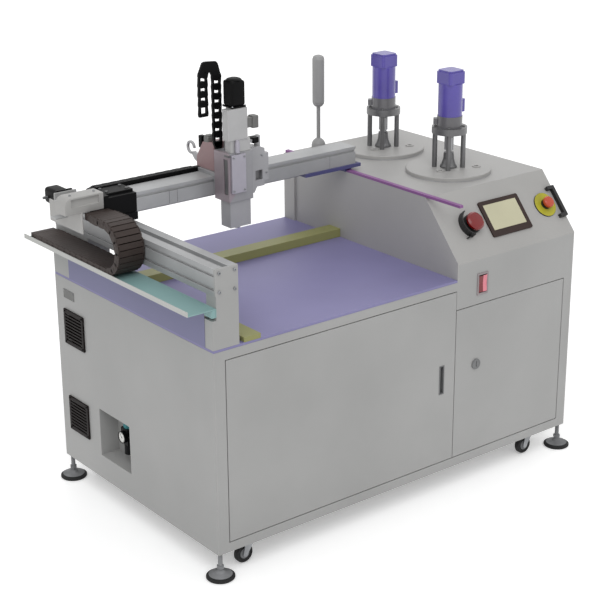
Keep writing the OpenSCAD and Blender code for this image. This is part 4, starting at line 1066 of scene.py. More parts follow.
@dataclass
class Studio:
    """The floor, the light and the camera at the photograph's angle."""

    camera_place: tuple[float, float, float] = (-2.97735, -3.82365, 2.3951)
    azimuth: float = -38.04
    elevation: float = 20.26
    roll: float = -0.38
    lens: float = 92.22
    sensor: float = 36.0
    floor_side: float = 40.0
    floor_colour: tuple[float, float, float] = (252, 252, 252)
    floor_roughness: float = 0.9
    floor_glow: float = 0.28
    sky: float = 0.60
    key: float = 1.05
    back: float = 0.35
    softness: float = 45.0
    lamp_reach: float = 5.0
    key_side: tuple[float, float, float] = (-0.38, -0.50, 0.78)
    back_side: tuple[float, float, float] = (0.55, 0.45, 0.70)

    def build(self) -> None:
        """Makes the whole studio."""
        self.camera()
        self.floor()
        self.world()
        self.lamps()

    def camera(self) -> None:
        """Places the camera where the photograph's lines say that it stood."""
        deselect()
        bpy.ops.object.camera_add()
        camera = bpy.context.active_object
        turn = (Matrix.Rotation(math.radians(self.azimuth), 4, "Z")
                @ Matrix.Rotation(math.radians(90 - self.elevation), 4, "X")
                @ Matrix.Rotation(math.radians(self.roll), 4, "Z"))
        camera.matrix_world = Matrix.Translation(self.camera_place) @ turn
        camera.data.lens = self.lens
        camera.data.sensor_width = self.sensor
        camera.data.clip_end = 100
        bpy.context.scene.camera = camera

    def floor(self) -> None:
        """Lays the pale floor, which shows white to the camera except for the object's shadow."""
        deselect()
        bpy.ops.mesh.primitive_grid_add(x_subdivisions=8, y_subdivisions=8, size=self.floor_side)
        floor = named("floor")
        paper = bpy.data.materials.new("floor_paper")
        paper.use_nodes = True
        tree = paper.node_tree
        shader = tree.nodes["Principled BSDF"]
        shader.inputs["Base Color"].default_value = linear(self.floor_colour)
        shader.inputs["Roughness"].default_value = self.floor_roughness
        shader.inputs["Specular IOR Level"].default_value = 0.0
        shader.inputs["Emission Color"].default_value = (1, 1, 1, 1)
        glow = worked(tree, Sums.NUMBER, "MULTIPLY", "Value", seen(tree), self.floor_glow)
        tree.links.new(glow, shader.inputs["Emission Strength"])
        floor.data.materials.append(paper)

    def world(self) -> None:
        """Fills the world with soft light, and with white where the camera or a reflection sees it."""
        world = bpy.data.worlds.new("studio")
        bpy.context.scene.world = world
        world.use_nodes = True
        tree = world.node_tree
        tree.nodes.clear()
        soft = tree.nodes.new("ShaderNodeBackground")
        soft.inputs["Strength"].default_value = self.sky
        white = tree.nodes.new("ShaderNodeBackground")
        white.inputs["Strength"].default_value = 1.0
        for background in (soft, white):
            background.inputs["Color"].default_value = (1, 1, 1, 1)
        blend = tree.nodes.new("ShaderNodeMixShader")
        tree.links.new(seen(tree), blend.inputs["Fac"])
        tree.links.new(soft.outputs["Background"], blend.inputs[1])
        tree.links.new(white.outputs["Background"], blend.inputs[2])
        out = tree.nodes.new("ShaderNodeOutputWorld")
        tree.links.new(blend.outputs["Shader"], out.inputs["Surface"])

    def lamp(self, name: str, towards: Sequence[float], strength: float) -> None:
        """Adds one soft lamp that lights the whole room evenly from a side.

        Args:
            name: The lamp's name.
            towards: The direction in which the lamp lies.
            strength: Its strength.
        """
        deselect()
        bpy.ops.object.light_add(type="SUN", location=Vector(towards) * self.lamp_reach)
        lamp = bpy.context.active_object
        lamp.name = name
        lamp.data.angle = math.radians(self.softness)
        lamp.data.energy = strength
        lamp.rotation_mode = "QUATERNION"
        lamp.rotation_quaternion = (-Vector(towards)).to_track_quat("-Z", "Y")

    def lamps(self) -> None:
        """Hangs the key lamp before the machine's left corner and a weak one behind it."""
        self.lamp("key_lamp", self.key_side, self.key)
        self.lamp("back_lamp", self.back_side, self.back)


# Sub-assemblies


@dataclass
class Bodywork:
    """The cabinet, tower, table and doors."""

    fold: float = 1.2 * MM
    lock_edge: float = 0.5 * MM
    gland_gap: float = 0.1 * MM
    plate_wide: float = 64 * MM
    plate_tall: float = 30 * MM
    plate_half: float = 0.5 * MM
    plate_back: float = 65 * MM
    plate_down: float = 45 * MM
    rivet_inset: float = 4 * MM
    rivet_radius: float = 1.6 * MM
    side_inset: float = 16 * MM
    end_inset: float = 15 * MM
    table_inset: float = 20 * MM
    screw_radius: float = 4 * MM

    def build(self) -> None:
        """Finishes the sheet-metal work."""
        for node in ("base_frame", "left_side_panel", "right_side_panel", "front_fascia"):
            paint(node, CABINET)
        gland_end = high("rear_panel").y
        back = high("left_side_panel").y
        paint("rear_panel", Zoned("rear_powder", (30, 30, 31), Coat.POWDER, other=(164, 164, 163),
                                  centre=(0, gland_end, 0), span=(0, 1, 0),
                                  limit=gland_end - back - self.gland_gap))
        for node in ("access_door", "tower_door"):
            paint(node, CABINET, self.fold)
        paint("tower_shell", TOWER)
        paint("work_table", VIOLET, self.fold)
        paint("stop_bars", OLIVE, self.fold)
        paint("door_pull", GREY)
        paint("door_lock", GREY, self.lock_edge)
        self.blank_plate()
        self.rear_screws(back)

    def blank_plate(self) -> None:
        """Rivets a bare plate to the left side, above the upper fan."""
        face = low("left_side_panel").x
        near = high("fan_grilles").y - self.plate_back
        top = high("work_table").z - self.plate_down
        far, bottom = near + self.plate_wide, top - self.plate_tall
        plate = block("blank_plate", (face - self.plate_half, near, bottom),
                      (face + self.plate_half, far, top), edge=0.3 * MM)
        dress(plate, PLATE_GREY, "machine", "grey_plastic")
        inset = self.rivet_inset
        screws("blank_plate_rivets", corners((0, near + inset, bottom + inset), (0, far - inset, top - inset),
                                             0, face - self.plate_half),
               Axis.LEFT, self.rivet_radius, "machine")

    def rear_screws(self, back: float) -> None:
        """Screws the rear panel down along its edges.

        Args:
            back: The place of the panel's outer face.
        """
        left = low("left_side_panel").x + self.side_inset
        right = high("right_side_panel").x - self.side_inset
        tower = low("right_rail").x + self.side_inset
        bottom, top = low("rear_panel").z + self.end_inset, high("rear_panel").z - self.end_inset
        table = high("work_table").z - self.table_inset
        rows = ((left, right, 5, bottom), (left, tower, 4, table), (tower, right, 2, top))
        places = [(first + (last - first) * step / steps, back, level)
                  for first, last, steps, level in rows for step in range(steps + 1)]
        places += [(side, back, (bottom + table) / 2) for side in (left, right)]
        screws("rear_panel_screws", places, Axis.Y, self.screw_radius, "machine")


@dataclass
class StandingGear:
    """The levelling feet and the casters."""

    pad_top: float = 13 * MM
    hub_radius: float = 17 * MM

    def build(self) -> None:
        """Finishes the feet, forks and wheels."""
        for corner in ("fl", "fr", "bl", "br"):
            self.foot(f"foot_{corner}")
            paint(f"caster_fork_{corner}", ZINC)
            self.wheel(f"caster_wheel_{corner}")

    def foot(self, node: str) -> None:
        """Finishes one foot: a rubber pad below and a grey stem above."""
        paint(node, Zoned("foot_rubber", (12, 12, 13), Coat.RUBBER, other=(128, 129, 131),
                          span=(0, 0, 1), limit=self.pad_top))

    def wheel(self, node: str) -> None:
        """Finishes one wheel: a grey hub within a black tyre."""
        paint(node, Zoned(f"{node}_tyre", (118, 119, 121), Coat.RUBBER, other=(24, 24, 25),
                          centre=tuple(middle(node)), span=(1, 0, 1), limit=self.hub_radius))


@dataclass
class Supply:
    """The tanks, agitators, pumps and control plate."""

    gearbox_height: float = 38 * MM
    post_circle: float = 48 * MM
    screw_radius: float = 4.5 * MM

    def build(self) -> None:
        """Finishes the supply side."""
        paint("tanks", BRIGHT_STEEL)
        paint("tank_lids", TOWER)
        paint("agitator_stands", DARK_STEEL)
        gearbox = low("agitator_motors").z
        paint("agitator_motors", Zoned("motor_violet", (104, 103, 106), Coat.GLOSS, edge=(130, 120, 185),
                                       other=(88, 77, 165), centre=(0, 0, gearbox), span=(0, 0, 1),
                                       limit=self.gearbox_height))
        for node in ("agitator_shaft_a", "agitator_shaft_b"):
            paint(node, BRIGHT_STEEL)
        paint("metering_pumps", MILLED)
        paint("control_plate", ZINC)
        paint("signal_lamp", LAMP)
        self.flange_screws()

    def flange_screws(self) -> None:
        """Screws each agitator's flange down on its posts."""
        reach = self.post_circle / math.sqrt(2)
        level = high("agitator_stands").z
        places = []
        for shaft in ("agitator_shaft_a", "agitator_shaft_b"):
            centre = middle(shaft)
            places += corners((centre.x - reach, centre.y - reach), (centre.x + reach, centre.y + reach),
                              2, level)
        screws("flange_screws", places, Axis.Z, self.screw_radius, "machine", DARK_STEEL, "dark_steel")


@dataclass
class LeftSide:
    """The fans and the air regulator in the left side."""

    grille_edge: float = 1.2 * MM
    screw_circle: float = 53 * MM
    screw_radius: float = 3 * MM
    body_half: float = 28.3 * MM
    dial_sunk: float = 2.2 * MM
    dial_thick: float = 0.6 * MM
    dial: Points = ((17.3, -0.2), (17.3, 0.6))
    hub: Points = ((2.2, -0.1), (2.2, 0.5), (1.6, 0.8))
    long_mark: Box = ((-0.25, -0.4, 11.5), (0.15, 0.4, 16))
    short_mark: Box = ((-0.25, -0.4, 13.2), (0.15, 0.4, 16))
    first_mark: float = -135.0
    mark_step: float = 27.0
    mark_count: int = 11
    long_every: int = 5
    needle: Box = ((-0.5, -0.5, -5), (-0.1, 0.5, 13))
    needle_turn: float = -38.0
    inlet: Place = (8, -57, 12)
    collar: Points = ((7, -0.4), (7, 1.6), (6.2, 2.6), (4.6, 2.6), (4.2, 0.4))

    def build(self) -> None:
        """Finishes the fans, the regulator and its knob."""
        paint("fan_grilles", FAN_BLACK, self.grille_edge)
        for node in ("fan_rotor_a", "fan_rotor_b", "air_regulator"):
            paint(node, BLACK)
        paint("regulator_knob", KNOB_TEAL)
        self.fan_screws()
        self.gauge()
        self.fitting()

    def fan_screws(self) -> None:
        """Screws the grilles down at their corners."""
        face = low("fan_grilles").x
        places = []
        for rotor in ("fan_rotor_a", "fan_rotor_b"):
            near, up = middle(rotor).y, middle(rotor).z
            places += corners((0, near - self.screw_circle, up - self.screw_circle),
                              (0, near + self.screw_circle, up + self.screw_circle), 0, face)
        screws("fan_grille_screws", places, Axis.LEFT, self.screw_radius, "machine", BLACK_PAINT,
               "black_metal")

    def gauge_middle(self) -> Vector:
        """The middle of the gauge's rim, level with the regulator's face."""
        knob = low("regulator_knob")
        return Vector((low("air_regulator").x, middle("regulator_knob").y, knob.z - self.body_half))

    def gauge(self) -> None:
        """Puts the gauge's white dial in its rim, with plain marks and a needle."""
        centre = self.gauge_middle() + Vector((self.dial_sunk, 0, 0))
        dial = turned("gauge_dial", centre, Axis.LEFT.value, rings(self.dial))
        dress(dial, DIAL, "machine", "black_plastic")
        front = Vector((centre.x - self.dial_thick, centre.y, centre.z))
        marks = [turned("gauge_marks", front, Axis.LEFT.value, rings(self.hub), sides=16)]
        hands = [(self.short_mark if number % self.long_every else self.long_mark,
                  self.first_mark + self.mark_step * number) for number in range(self.mark_count)]
        for box, turn in (*hands, (self.needle, self.needle_turn)):
            place = Matrix.Translation(front) @ Matrix.Rotation(math.radians(turn), 4, "X")
            marks.append(placed(brick("gauge_marks", Vector(), box, edge=0), place))
        dress(joined("gauge_marks", marks), BLACK, "machine", "black_plastic")

    def fitting(self) -> None:
        """Puts a red release collar on the air inlet."""
        collar = turned("inlet_collar", self.gauge_middle() + Vector(self.inlet) * MM, Axis.LEFT.value,
                        rings(self.collar), sides=28)
        dress(collar, COLLAR_RED, "machine", "rocker_red")


@dataclass
class Controls:
    """The touch screen, buttons and switch."""

    skin: float = 2 * MM
    line: float = 119 * MM
    bezel_edge: float = 0.8 * MM
    button_edge: float = 1.5 * MM
    screen_at: float = 282 * MM
    glass_wide: float = 150.4 * MM
    glass_tall: float = 92.4 * MM
    glass_rise: float = 4 * MM
    glass_bottom: float = 4.3 * MM
    glass_top: float = 5.2 * MM
    stop_at: float = 129 * MM
    stop_profile: Points = ((9, 1), (9, 16.4), (28, 17), (32, 20), (32, 28), (26, 33), (18, 34))
    estop_at: float = 473 * MM
    plate_profile: Points = ((43.4, 3.5), (43.4, 4.6), (42.8, 5))
    switch_reach: float = 50 * MM
    # Width of the rocker's dark red part, which is painted shade.
    rocker_shade_width: float = 18 * MM

    def build(self) -> None:
        """Finishes the controls."""
        paint("touch_screen", BEZEL, self.bezel_edge)
        paint("panel_bases", Zoned("control_bases", (150, 140, 142), Coat.PLASTIC, other=(22, 22, 23),
                                   centre=tuple(middle("switch_rocker")), span=(1, 1, 1),
                                   limit=self.switch_reach))
        paint("estop_button", ESTOP_RED, self.button_edge)
        # The rocker's left part is dark red as painted shade, and the rest is pink as a painted highlight.
        paint("switch_rocker", Zoned("rocker_red", (118, 6, 20), Coat.GLOSS, other=(226, 128, 142),
                                     centre=(low("switch_rocker").x, 0, 0), span=(1, 0, 0),
                                     limit=self.rocker_shade_width))
        self.screen()
        self.stop_head()
        self.estop_plate()

    def slope(self, along: float) -> Matrix:
        """The place of a control on the sloped panel, with z standing out of it.

        Args:
            along: Its distance from the tower's left wall.

        Returns:
            Its place and turn.
        """
        press = Vector(joint("estop_press")["axis"])
        tilt = math.atan2(press.y, -press.z)
        corner = Vector((low("right_rail").x + along, low("tower_shell").y,
                         high("front_fascia").z + self.skin / math.cos(tilt)))
        return Matrix.Translation(corner) @ Matrix.Rotation(tilt, 4, "X") @ Matrix.Translation(
            (0, self.line, 0))

    def screen(self) -> None:
        """Lays the touch screen's glass in its bezel."""
        half, rise = self.glass_wide / 2, self.glass_rise
        glass = block("screen_glass", (-half, rise - self.glass_tall / 2, self.glass_bottom),
                      (half, rise + self.glass_tall / 2, self.glass_top), edge=0.3 * MM)
        dress(placed(glass, self.slope(self.screen_at)), SCREEN, "machine", "screen_case")

    def stop_head(self) -> None:
        """Makes the stop button's red head on its stem, with bevelled rims."""
        head = turned("stop_button_head", (0, 0, 0), Axis.Z.value, rings(self.stop_profile), sides=24)
        dress(placed(head, self.slope(self.stop_at)), RED, "stop_head", "button_red", "stop_button")

    def estop_plate(self) -> None:
        """Lays the round yellow plate round the emergency stop."""
        plate = turned("estop_plate", (0, 0, 0), Axis.Z.value, rings(self.plate_profile), sides=64)
        dress(placed(plate, self.slope(self.estop_at)), YELLOW, "machine", "black_plastic")


@dataclass
class LeftAxis:
    """The left beam with its posts, motor, tray and wide cable chain, and the right rail."""

    edge: float = 0.8 * MM
    # Width of the lip's light grey painted highlight.
    lip: float = 3.4 * MM
    sheet: float = 3.0
    lip_height: float = 15.0
    flange_drop: float = 38.0
    tray_edge: float = 0.6 * MM
    bracket_start: float = 0.3 * MM
    bracket_length: float = 39 * MM
    bracket_drop: float = 24 * MM
    bracket_proud: float = 1.2 * MM
    bracket_short: float = 3.2 * MM
    skirt_start: float = 39 * MM
    skirt_stop: float = 94 * MM
    skirt_proud: float = 1.4 * MM
    seam: float = 0.1 * MM
    motor_half: float = 27 * MM
    motor_middle: float = 44 * MM
    case_start: float = 7.8 * MM
    case_round: float = 12 * MM
    flange_start: float = 14 * MM
    flange_thick: float = 8 * MM
    rod_foot: Place = (22, 66, -4)
    rod: Points = ((4.5, 0), (4.5, 20), (3.4, 21.6))
    chain_thick: float = 25 * MM
    chain_bends: int = 13
    chain_seam: float = 0.15 * MM
    running_gap: float = 0.3 * MM
    screw_inset: float = 13 * MM
    screw_radius: float = 5 * MM

    def build(self) -> None:
        """Finishes the axis that carries the gantry."""
        paint("y_beam", BEAM, self.edge)
        paint("beam_posts", CABINET, self.edge)
        self.motor()
        self.tray()
        self.skirt()
        paint("right_rail", MAGENTA, self.edge)
        self.chain()
        self.end_screws()

    def motor(self) -> None:
        """Makes the axis's black motor with its flange and the grey rod of its brake lever."""
        first, last = low("y_motor"), high("y_motor")
        half = self.motor_half
        centre = Vector((first.x + self.motor_middle, first.y, (first.z + last.z) / 2))
        flange = block("axis_motor", (first.x + self.flange_start, first.y, first.z),
                       (last.x, first.y + self.flange_thick, last.z), edge=1 * MM)
        body = case("axis_motor", centre + Vector((-half, self.case_start, -half)),
                    (centre.x + half, last.y, centre.z + half), self.case_round)
        dress(joined("axis_motor", [flange, body]), BLACK_PAINT, "machine", "black_metal", "y_motor")
        foot = Vector((first.x, first.y, centre.z)) + Vector(self.rod_foot) * MM
        rod = turned("axis_motor_rod", foot, Axis.LEFT.value, rings(self.rod), sides=20)
        dress(rod, GREY, "machine", "grey_plastic")

    def tray(self) -> None:
        """Folds the tray that the wide chain lies in: a floor, a raised lip and a flange down the wall."""
        first, last = low("chain_tray"), high("chain_tray")
        width, top = (last.x - first.x) / MM, (last.z - first.z) / MM
        floor, drop = top - self.lip_height, top - self.flange_drop
        inner = floor + self.sheet
        outline = [(0, floor), (0, top), (self.sheet, top), (self.sheet, inner), (width, inner),
                   (width, drop), (width - self.sheet, drop), (width - self.sheet, floor)]
        tray = prism("cable_tray", outline, last.y - first.y, Matrix.Translation(first), self.tray_edge)
        # The lip is light grey as a painted highlight, and the rest of the tray is teal.
        dress(tray, Zoned("tray_teal", (188, 189, 186), Coat.POWDER, edge=(200, 200, 198),
                          other=(134, 170, 169), centre=(first.x, 0, 0), span=(1, 0, 0), limit=self.lip),
              "machine", "tray_teal", "chain_tray")
        level = first.z + floor * MM - self.seam
        bracket = block("tray_bracket", (low("beam_posts").x - self.bracket_proud,
                                         first.y + self.bracket_start, level - self.bracket_drop),
                        (last.x - self.bracket_short, first.y + self.bracket_length, level), edge=1 * MM)
        dress(bracket, TEAL, "machine", "tray_teal")

    def skirt(self) -> None:
        """Stands the violet side wall on the table's edge, up to the tray that it carries, in a darker violet
        than the table as painted shade under the tray.
        """
        first, last = low("beam_posts"), high("beam_posts")
        floor = high("chain_tray").z - self.lip_height * MM
        wall = block("side_skirt", (first.x - self.skirt_proud, first.y + self.skirt_start,
                                    high("work_table").z),
                     (first.x - self.seam, last.y - self.skirt_stop, floor - self.seam), edge=0.4 * MM)
        dress(wall, SHADED_SKIRT, "machine", "table_violet")

    def chain(self) -> None:
        """Makes the wide cable chain of links."""
        first, last = low("y_chain"), high("y_chain")
        radius = (last.z - first.z) / 2
        bend = first.y + radius
        place = Matrix.Translation((last.x, bend, first.z + radius)) @ Matrix.Rotation(math.pi / 2, 4, "Z")
        CableChain("y_chain", place, radius, self.chain_thick, last.x - first.x, last.y - bend,
                   low("x_beam").y - self.running_gap - bend, self.chain_bends, CHAIN,
                   "chain_plastic", seam=self.chain_seam).build("machine", "gantry")

    def end_screws(self) -> None:
        """Screws the front end plate to the beam."""
        first, last = low("y_beam"), high("y_beam")
        inset = self.screw_inset
        screws("beam_end_screws", corners((first.x + inset, 0, first.z + inset),
                                          (last.x - inset, 0, last.z - inset), 1, low("beam_posts").y),
               Axis.FRONT, self.screw_radius, "machine")


@dataclass
class Gantry:
    """The X beam with its carriage, housing, runner and narrow chain."""

    edge: float = 0.8 * MM
    block_edge: float = 2 * MM
    cover_wide: float = 135.0
    cover_tall: float = 52.0
    shoulder: float = 24.0
    cover_depth: float = 57 * MM
    recess_from: float = 22.0
    recess_to: float = 119.0
    recess_top: float = 5.0
    recess_bottom: float = 31.0
    recess_before: float = 2 * MM
    recess_depth: float = 8 * MM
    cheek_at: float = 57.0
    cheek_thick: float = 4 * MM
    cheek_long: float = 198 * MM
    cheek_drop: float = 68 * MM
    chain_thick: float = 18 * MM
    chain_bends: int = 5
    chain_plate: float = 1.6 * MM
    chain_hold: float = 30 * MM
    beam_height: float = 60 * MM
    strips: Points = ((762, 760), (732, 730), (114, 112.5))
    strip_sunk: float = 0.15 * MM
    strip_proud: float = 0.3 * MM
    strip_bottom: float = 2 * MM
    strip_top: float = 17 * MM
    block_screws: Points = ((34, -50), (-14, -12))
    runner_inset: float = 10 * MM
    runner_screws: tuple[float, ...] = (14 * MM, 76 * MM)
    housing_screws: tuple[float, ...] = (101 * MM, 17 * MM)
    housing_inset: float = 28 * MM
    screw_radius: float = 4.5 * MM
    small_radius: float = 4 * MM

    def build(self) -> None:
        """Finishes the gantry."""
        paint("y_carriage", BLACK_PAINT, self.block_edge)
        self.housing()
        paint("x_beam", BEAM, self.edge)
        paint("right_runner", NAVY, self.edge)
        self.chain()
        self.beam_joints()
        self.screws()

    def chain(self) -> None:
        """Makes the narrow cable chain of links behind the beam."""
        first, last = low("x_chain"), high("x_chain")
        radius = (last.z - first.z) / 2
        bend = first.x + radius
        place = Matrix.Translation((bend, first.y, first.z + radius))
        CableChain("x_chain", place, radius, self.chain_thick, last.y - first.y, last.x - bend,
                   low("x_carriage").x + self.chain_hold - bend, self.chain_bends, BLACK,
                   "black_plastic", plate=self.chain_plate).build("gantry", "head")

    def housing(self) -> None:
        """Makes the end housing with its rounded left shoulder, its recess and the cheek plate below it."""
        first, right = low("end_housing"), high("end_housing").x
        left, top, shoulder = (right - first.x) / MM - self.cover_wide, self.cover_tall, self.shoulder
        outline = [(left, 0), *arc((left + shoulder, top - shoulder), shoulder, 180, 90),
                   (left + self.cover_wide, top), (left + self.cover_wide, 0)]
        cover = prism("end_cover", outline, self.cover_depth, Matrix.Translation(first), edge=1.5 * MM,
                      segments=3)
        near, far = left + self.recess_from, left + self.recess_to
        bottom, up = top - self.recess_bottom, top - self.recess_top
        recess = prism("recess_cutter", [(near, bottom), (far, bottom), (far, up), (near, up)],
                       self.recess_depth, Matrix.Translation(first - Vector((0, self.recess_before, 0))),
                       edge=2.5 * MM, segments=3)
        dress(smooth(cut(cover, recess)), TOWER, "gantry", "tower_paint", "end_housing")
        side = first.x + (left + self.cheek_at) * MM
        cheek = block("housing_cheek", (side, first.y, first.z - self.cheek_drop),
                      (side + self.cheek_thick, first.y + self.cheek_long, first.z + 0.5 * MM))
        dress(cheek, TOWER, "gantry", "tower_paint")

    def beam_joints(self) -> None:
        """Marks where the beam's front strip is jointed."""
        face, end, top = low("x_beam").y, high("x_beam").x, high("x_beam").z
        bottom = top - self.beam_height
        strips = [block("beam_joint_strips",
                        (end - far * MM, face - self.strip_sunk, bottom + self.strip_bottom),
                        (end - near * MM, face + self.strip_proud, top - self.strip_top),
                        edge=0.1 * MM, segments=1)
                  for far, near in self.strips]
        dress(joined("beam_joint_strips", strips), GREY, "gantry", "grey_plastic")

    def screws(self) -> None:
        """Screws the carriage block, the housing and the right carriage plate down."""
        first, last = low("y_carriage"), high("y_carriage")
        near, far = rings(self.block_screws)
        screws("carriage_block_screws", corners((first.x + near[0], last.y + near[1]),
                                                (last.x + far[0], last.y + far[1]), 2, last.z),
               Axis.Z, self.screw_radius, "gantry", DARK_STEEL, "dark_steel")
        runner, front = high("right_runner"), low("right_runner").y
        screws("runner_plate_screws", [(runner.x - self.runner_inset, front + along, runner.z)
                                       for along in self.runner_screws],
               Axis.Z, self.screw_radius, "gantry")
        right, foot = high("end_housing").x, low("end_housing")
        screws("housing_screws", [(right - inset, foot.y + self.housing_inset, foot.z + self.cover_tall * MM)
                                  for inset in self.housing_screws], Axis.Z, self.small_radius, "gantry")


@dataclass
class Head:
    """The X carriage with the ram, its housing and motor, and the small chain.

    Places, outlines and boxes are given from the ram housing's low left front corner. Those of the motor
    are given from its foot, and those of the side block from its own node's corner.
    """

    edge: float = 0.8 * MM
    plate_proud: float = 8 * MM
    saddle_top: Points = ((80, 71.3), (172, 82.7))
    saddle_front: Points = ((80, 12), (85.7, 71.4))
    cover_side: Points = ((92, 83), (92, 176), (154, 169), (190, 115), (190, 83))
    cover_start: float = 8.0
    cover_width: float = 84.0
    ring_middle: tuple[float, float] = (242.8, 131.0)
    ring_radii: tuple[float, float] = (22.0, 15.0)
    ring_open: float = -125.0
    ring_start: float = 20.0
    ring_width: float = 8.0
    ring_arm: Points = ((188, 83), (188, 112), (222, 122), (238, 114), (220, 96))
    body: Box = ((0, 0, 0), (94, 79.7, 159))
    groove: Box = ((-2, 6, 24), (5, 28, 139))
    rosy_place: Place = (-60, 40, 80)
    rosy_from: float = 108 * MM
    front: Box = ((7, -8, 30), (62, 0.2, 155))
    neck: Points = ((12, 4), (88, 4), (88, 73), (34, 73), (34, 34), (12, 34))
    neck_foot: float = 158.9
    neck_height: float = 40.2
    oiler_foot: Place = (34, -1, 158.8)
    oiler: Points = ((7, 0), (8, 1), (8, 32), (6.4, 36), (6.4, 40), (4, 42))
    mount: Points = ((0, 0), (76, 0), (76, 60), (36, 60), (36, 30), (0, 30))
    mount_foot: float = 199.0
    mount_height: float = 100.0
    plug_neck: Box = ((75.8, 5, 231), (106, 26, 263))
    plug_body: Box = ((97, 0, 227), (120, 28, 267))
    motor_foot: Place = (49, 32, 299)
    motor_plate: Box = ((-27, -27, 0), (27, 27, 5))
    motor_case: Box = ((-26, -26, 4.8), (26, 26, 85))
    motor_round: float = 8 * MM
    cap_foot: float = 84.0
    cap: Points = ((25, 0), (25, 2), (22, 5), (15, 7.6), (6, 8.4))
    steps: Points = ((0, 0), (30, 0), (40, 18), (70, 18), (70, 34), (87, 34), (87, 126), (72, 126),
                     (72, 142), (50, 151), (0, 151))
    pocket: Box = ((34, -2, 40), (62, 12, 72))
    # A dark sheet at the back of the side block's pocket, as painted shade in the pocket.
    shade_sheet: Box = ((34.3, 10.8, 40.3), (61.7, 12.3, 71.7))
    stub_foot: Place = (58, 22, 144)
    stub: Points = ((10, 0), (10, 36), (8.6, 38), (6, 38), (5.6, 30))
    link_pitch: float = 30.5
    link_width: float = 36.0
    link_depth: float = 9.4 * MM
    link_round: tuple[float, float] = (235.0, 125.0)
    link_lap: float = 4.0
    link_taper: float = 2.0
    link_stagger: float = 0.5 * MM
    window: Box = ((-13, 0, -10), (9, 20, 10))
    window_before: float = 5 * MM
    rising: int = 7
    over: tuple[int, ...] = (110, 180, 250)
    hanging: int = 4
    chain_leg: float = 19.0
    chain_foot: float = 181.0
    tail: float = 37.0
    tail_shoulder: float = 16.0
    tail_depth: float = 9 * MM
    # A dark strip in the side groove, as painted shade in the groove.
    groove_shade: Box = ((2.5, 6.5, 25), (5.3, 27.5, 138))
    # The dark band round the housing's top corner is a painted shadow.
    side_shadow_band: Box = ((-0.3, -0.3, 147), (1, 24, 154))
    front_shadow_band: Box = ((-0.3, -0.3, 147), (8, 1, 154))
    clamp_arm: Box = ((86, 34, 172), (124, 56, 182))
    clamp_jaw: Box = ((118, 30, 169), (142, 60, 187))
    rear_plug: Box = ((9, 160, 146), (25, 178, 186))
    front_plug: Box = ((9, 122, 168), (37, 148, 188))
    front_plug_top: Box = ((12, 125, 184), (34, 145, 194))
    plate_screws: tuple[Place, Place] = ((14, 0, 38), (55, 0, 146))
    plate_screw: float = 3.2 * MM
    motor_screw: float = 2.6 * MM
    block_screw: float = 3.4 * MM
    motor_screws_at: float = 304.0
    motor_screws_reach: float = 24.6 * MM
    block_screws: tuple[Place, ...] = ((12, 0, 14), (12, 0, 138), (60, 0, 120), (78, 0, 60))

    @cached_property
    def corner(self) -> Vector:
        """The ram housing's low left front corner."""
        node = low("z_housing")
        return Vector((low("x_carriage").x, node.y + self.plate_proud, node.z))

    def at(self, place: Place) -> Vector:
        """A place that is given in millimetres from the corner."""
        return self.corner + Vector(place) * MM

    def build(self) -> None:
        """Makes and finishes the head."""
        paint("z_ram", MILLED, self.edge)
        self.saddle()
        self.ram_housing()
        self.drive()
        self.stepped_block()
        self.small_chain()
        self.strips()
        self.clamp()
        self.plugs()
        self.pocket_shade_sheet()
        self.screws()

    def crosswise(self, name: str, outline: Points, start: float, width: float, edge: float,
                  segments: int = 2) -> Piece:
        """Makes a solid from its side view.

        Args:
            name: Its name.
            outline: Its corners along y and z.
            start: Where its left face is.
            width: Its width.
            edge: The width of its rounded edges.
            segments: Faces across an edge.

        Returns:
            The solid.
        """
        turn = Matrix.Translation((start * MM, 0, 0)) @ Matrix.Rotation(math.pi / 2, 4, "Z")
        return prism(name, outline, -width * MM, Matrix.Translation(self.corner) @ turn, edge, segments)

    def upright(self, name: str, outline: Points, foot: float, height: float, edge: float) -> Piece:
        """Makes a solid from its plan.

        Args:
            name: Its name.
            outline: Its corners along x and y.
            foot: The level of its lower face.
            height: Its height.
            edge: The width of its rounded edges.

        Returns:
            The solid.
        """
        place = Matrix.Translation(self.at((0, 0, foot))) @ Matrix.Rotation(-math.pi / 2, 4, "X")
        return prism(name, outline, -height * MM, place, edge)

    def saddle(self) -> None:
        """Makes the carriage: its saddle on the beam, its rose cover and the hose ring on its arm."""
        wide = (high("x_carriage").x - self.corner.x) / MM
        walls = [brick("carriage_saddle", self.corner, ((0, *first), (wide, *last)))
                 for first, last in (self.saddle_top, self.saddle_front)]
        dress(joined("carriage_saddle", walls), MILLED, "head", "carriage_rose", "x_carriage")
        cover = self.crosswise("carriage_cover", self.cover_side, self.cover_start, self.cover_width,
                               edge=2 * MM, segments=3)
        dress(cover, ROSE, "head", "carriage_rose", "x_carriage")
        outer, inner = self.ring_radii
        ring = [*arc(self.ring_middle, outer, 180, self.ring_open, steps=20),
                *arc(self.ring_middle, inner, self.ring_open, 180, steps=20)]
        pieces = [self.crosswise("hose_ring", outline, self.ring_start, self.ring_width, self.edge)
                  for outline in (ring, self.ring_arm)]
        dress(joined("hose_ring", pieces), MILLED, "head", "machined_metal", "x_carriage")

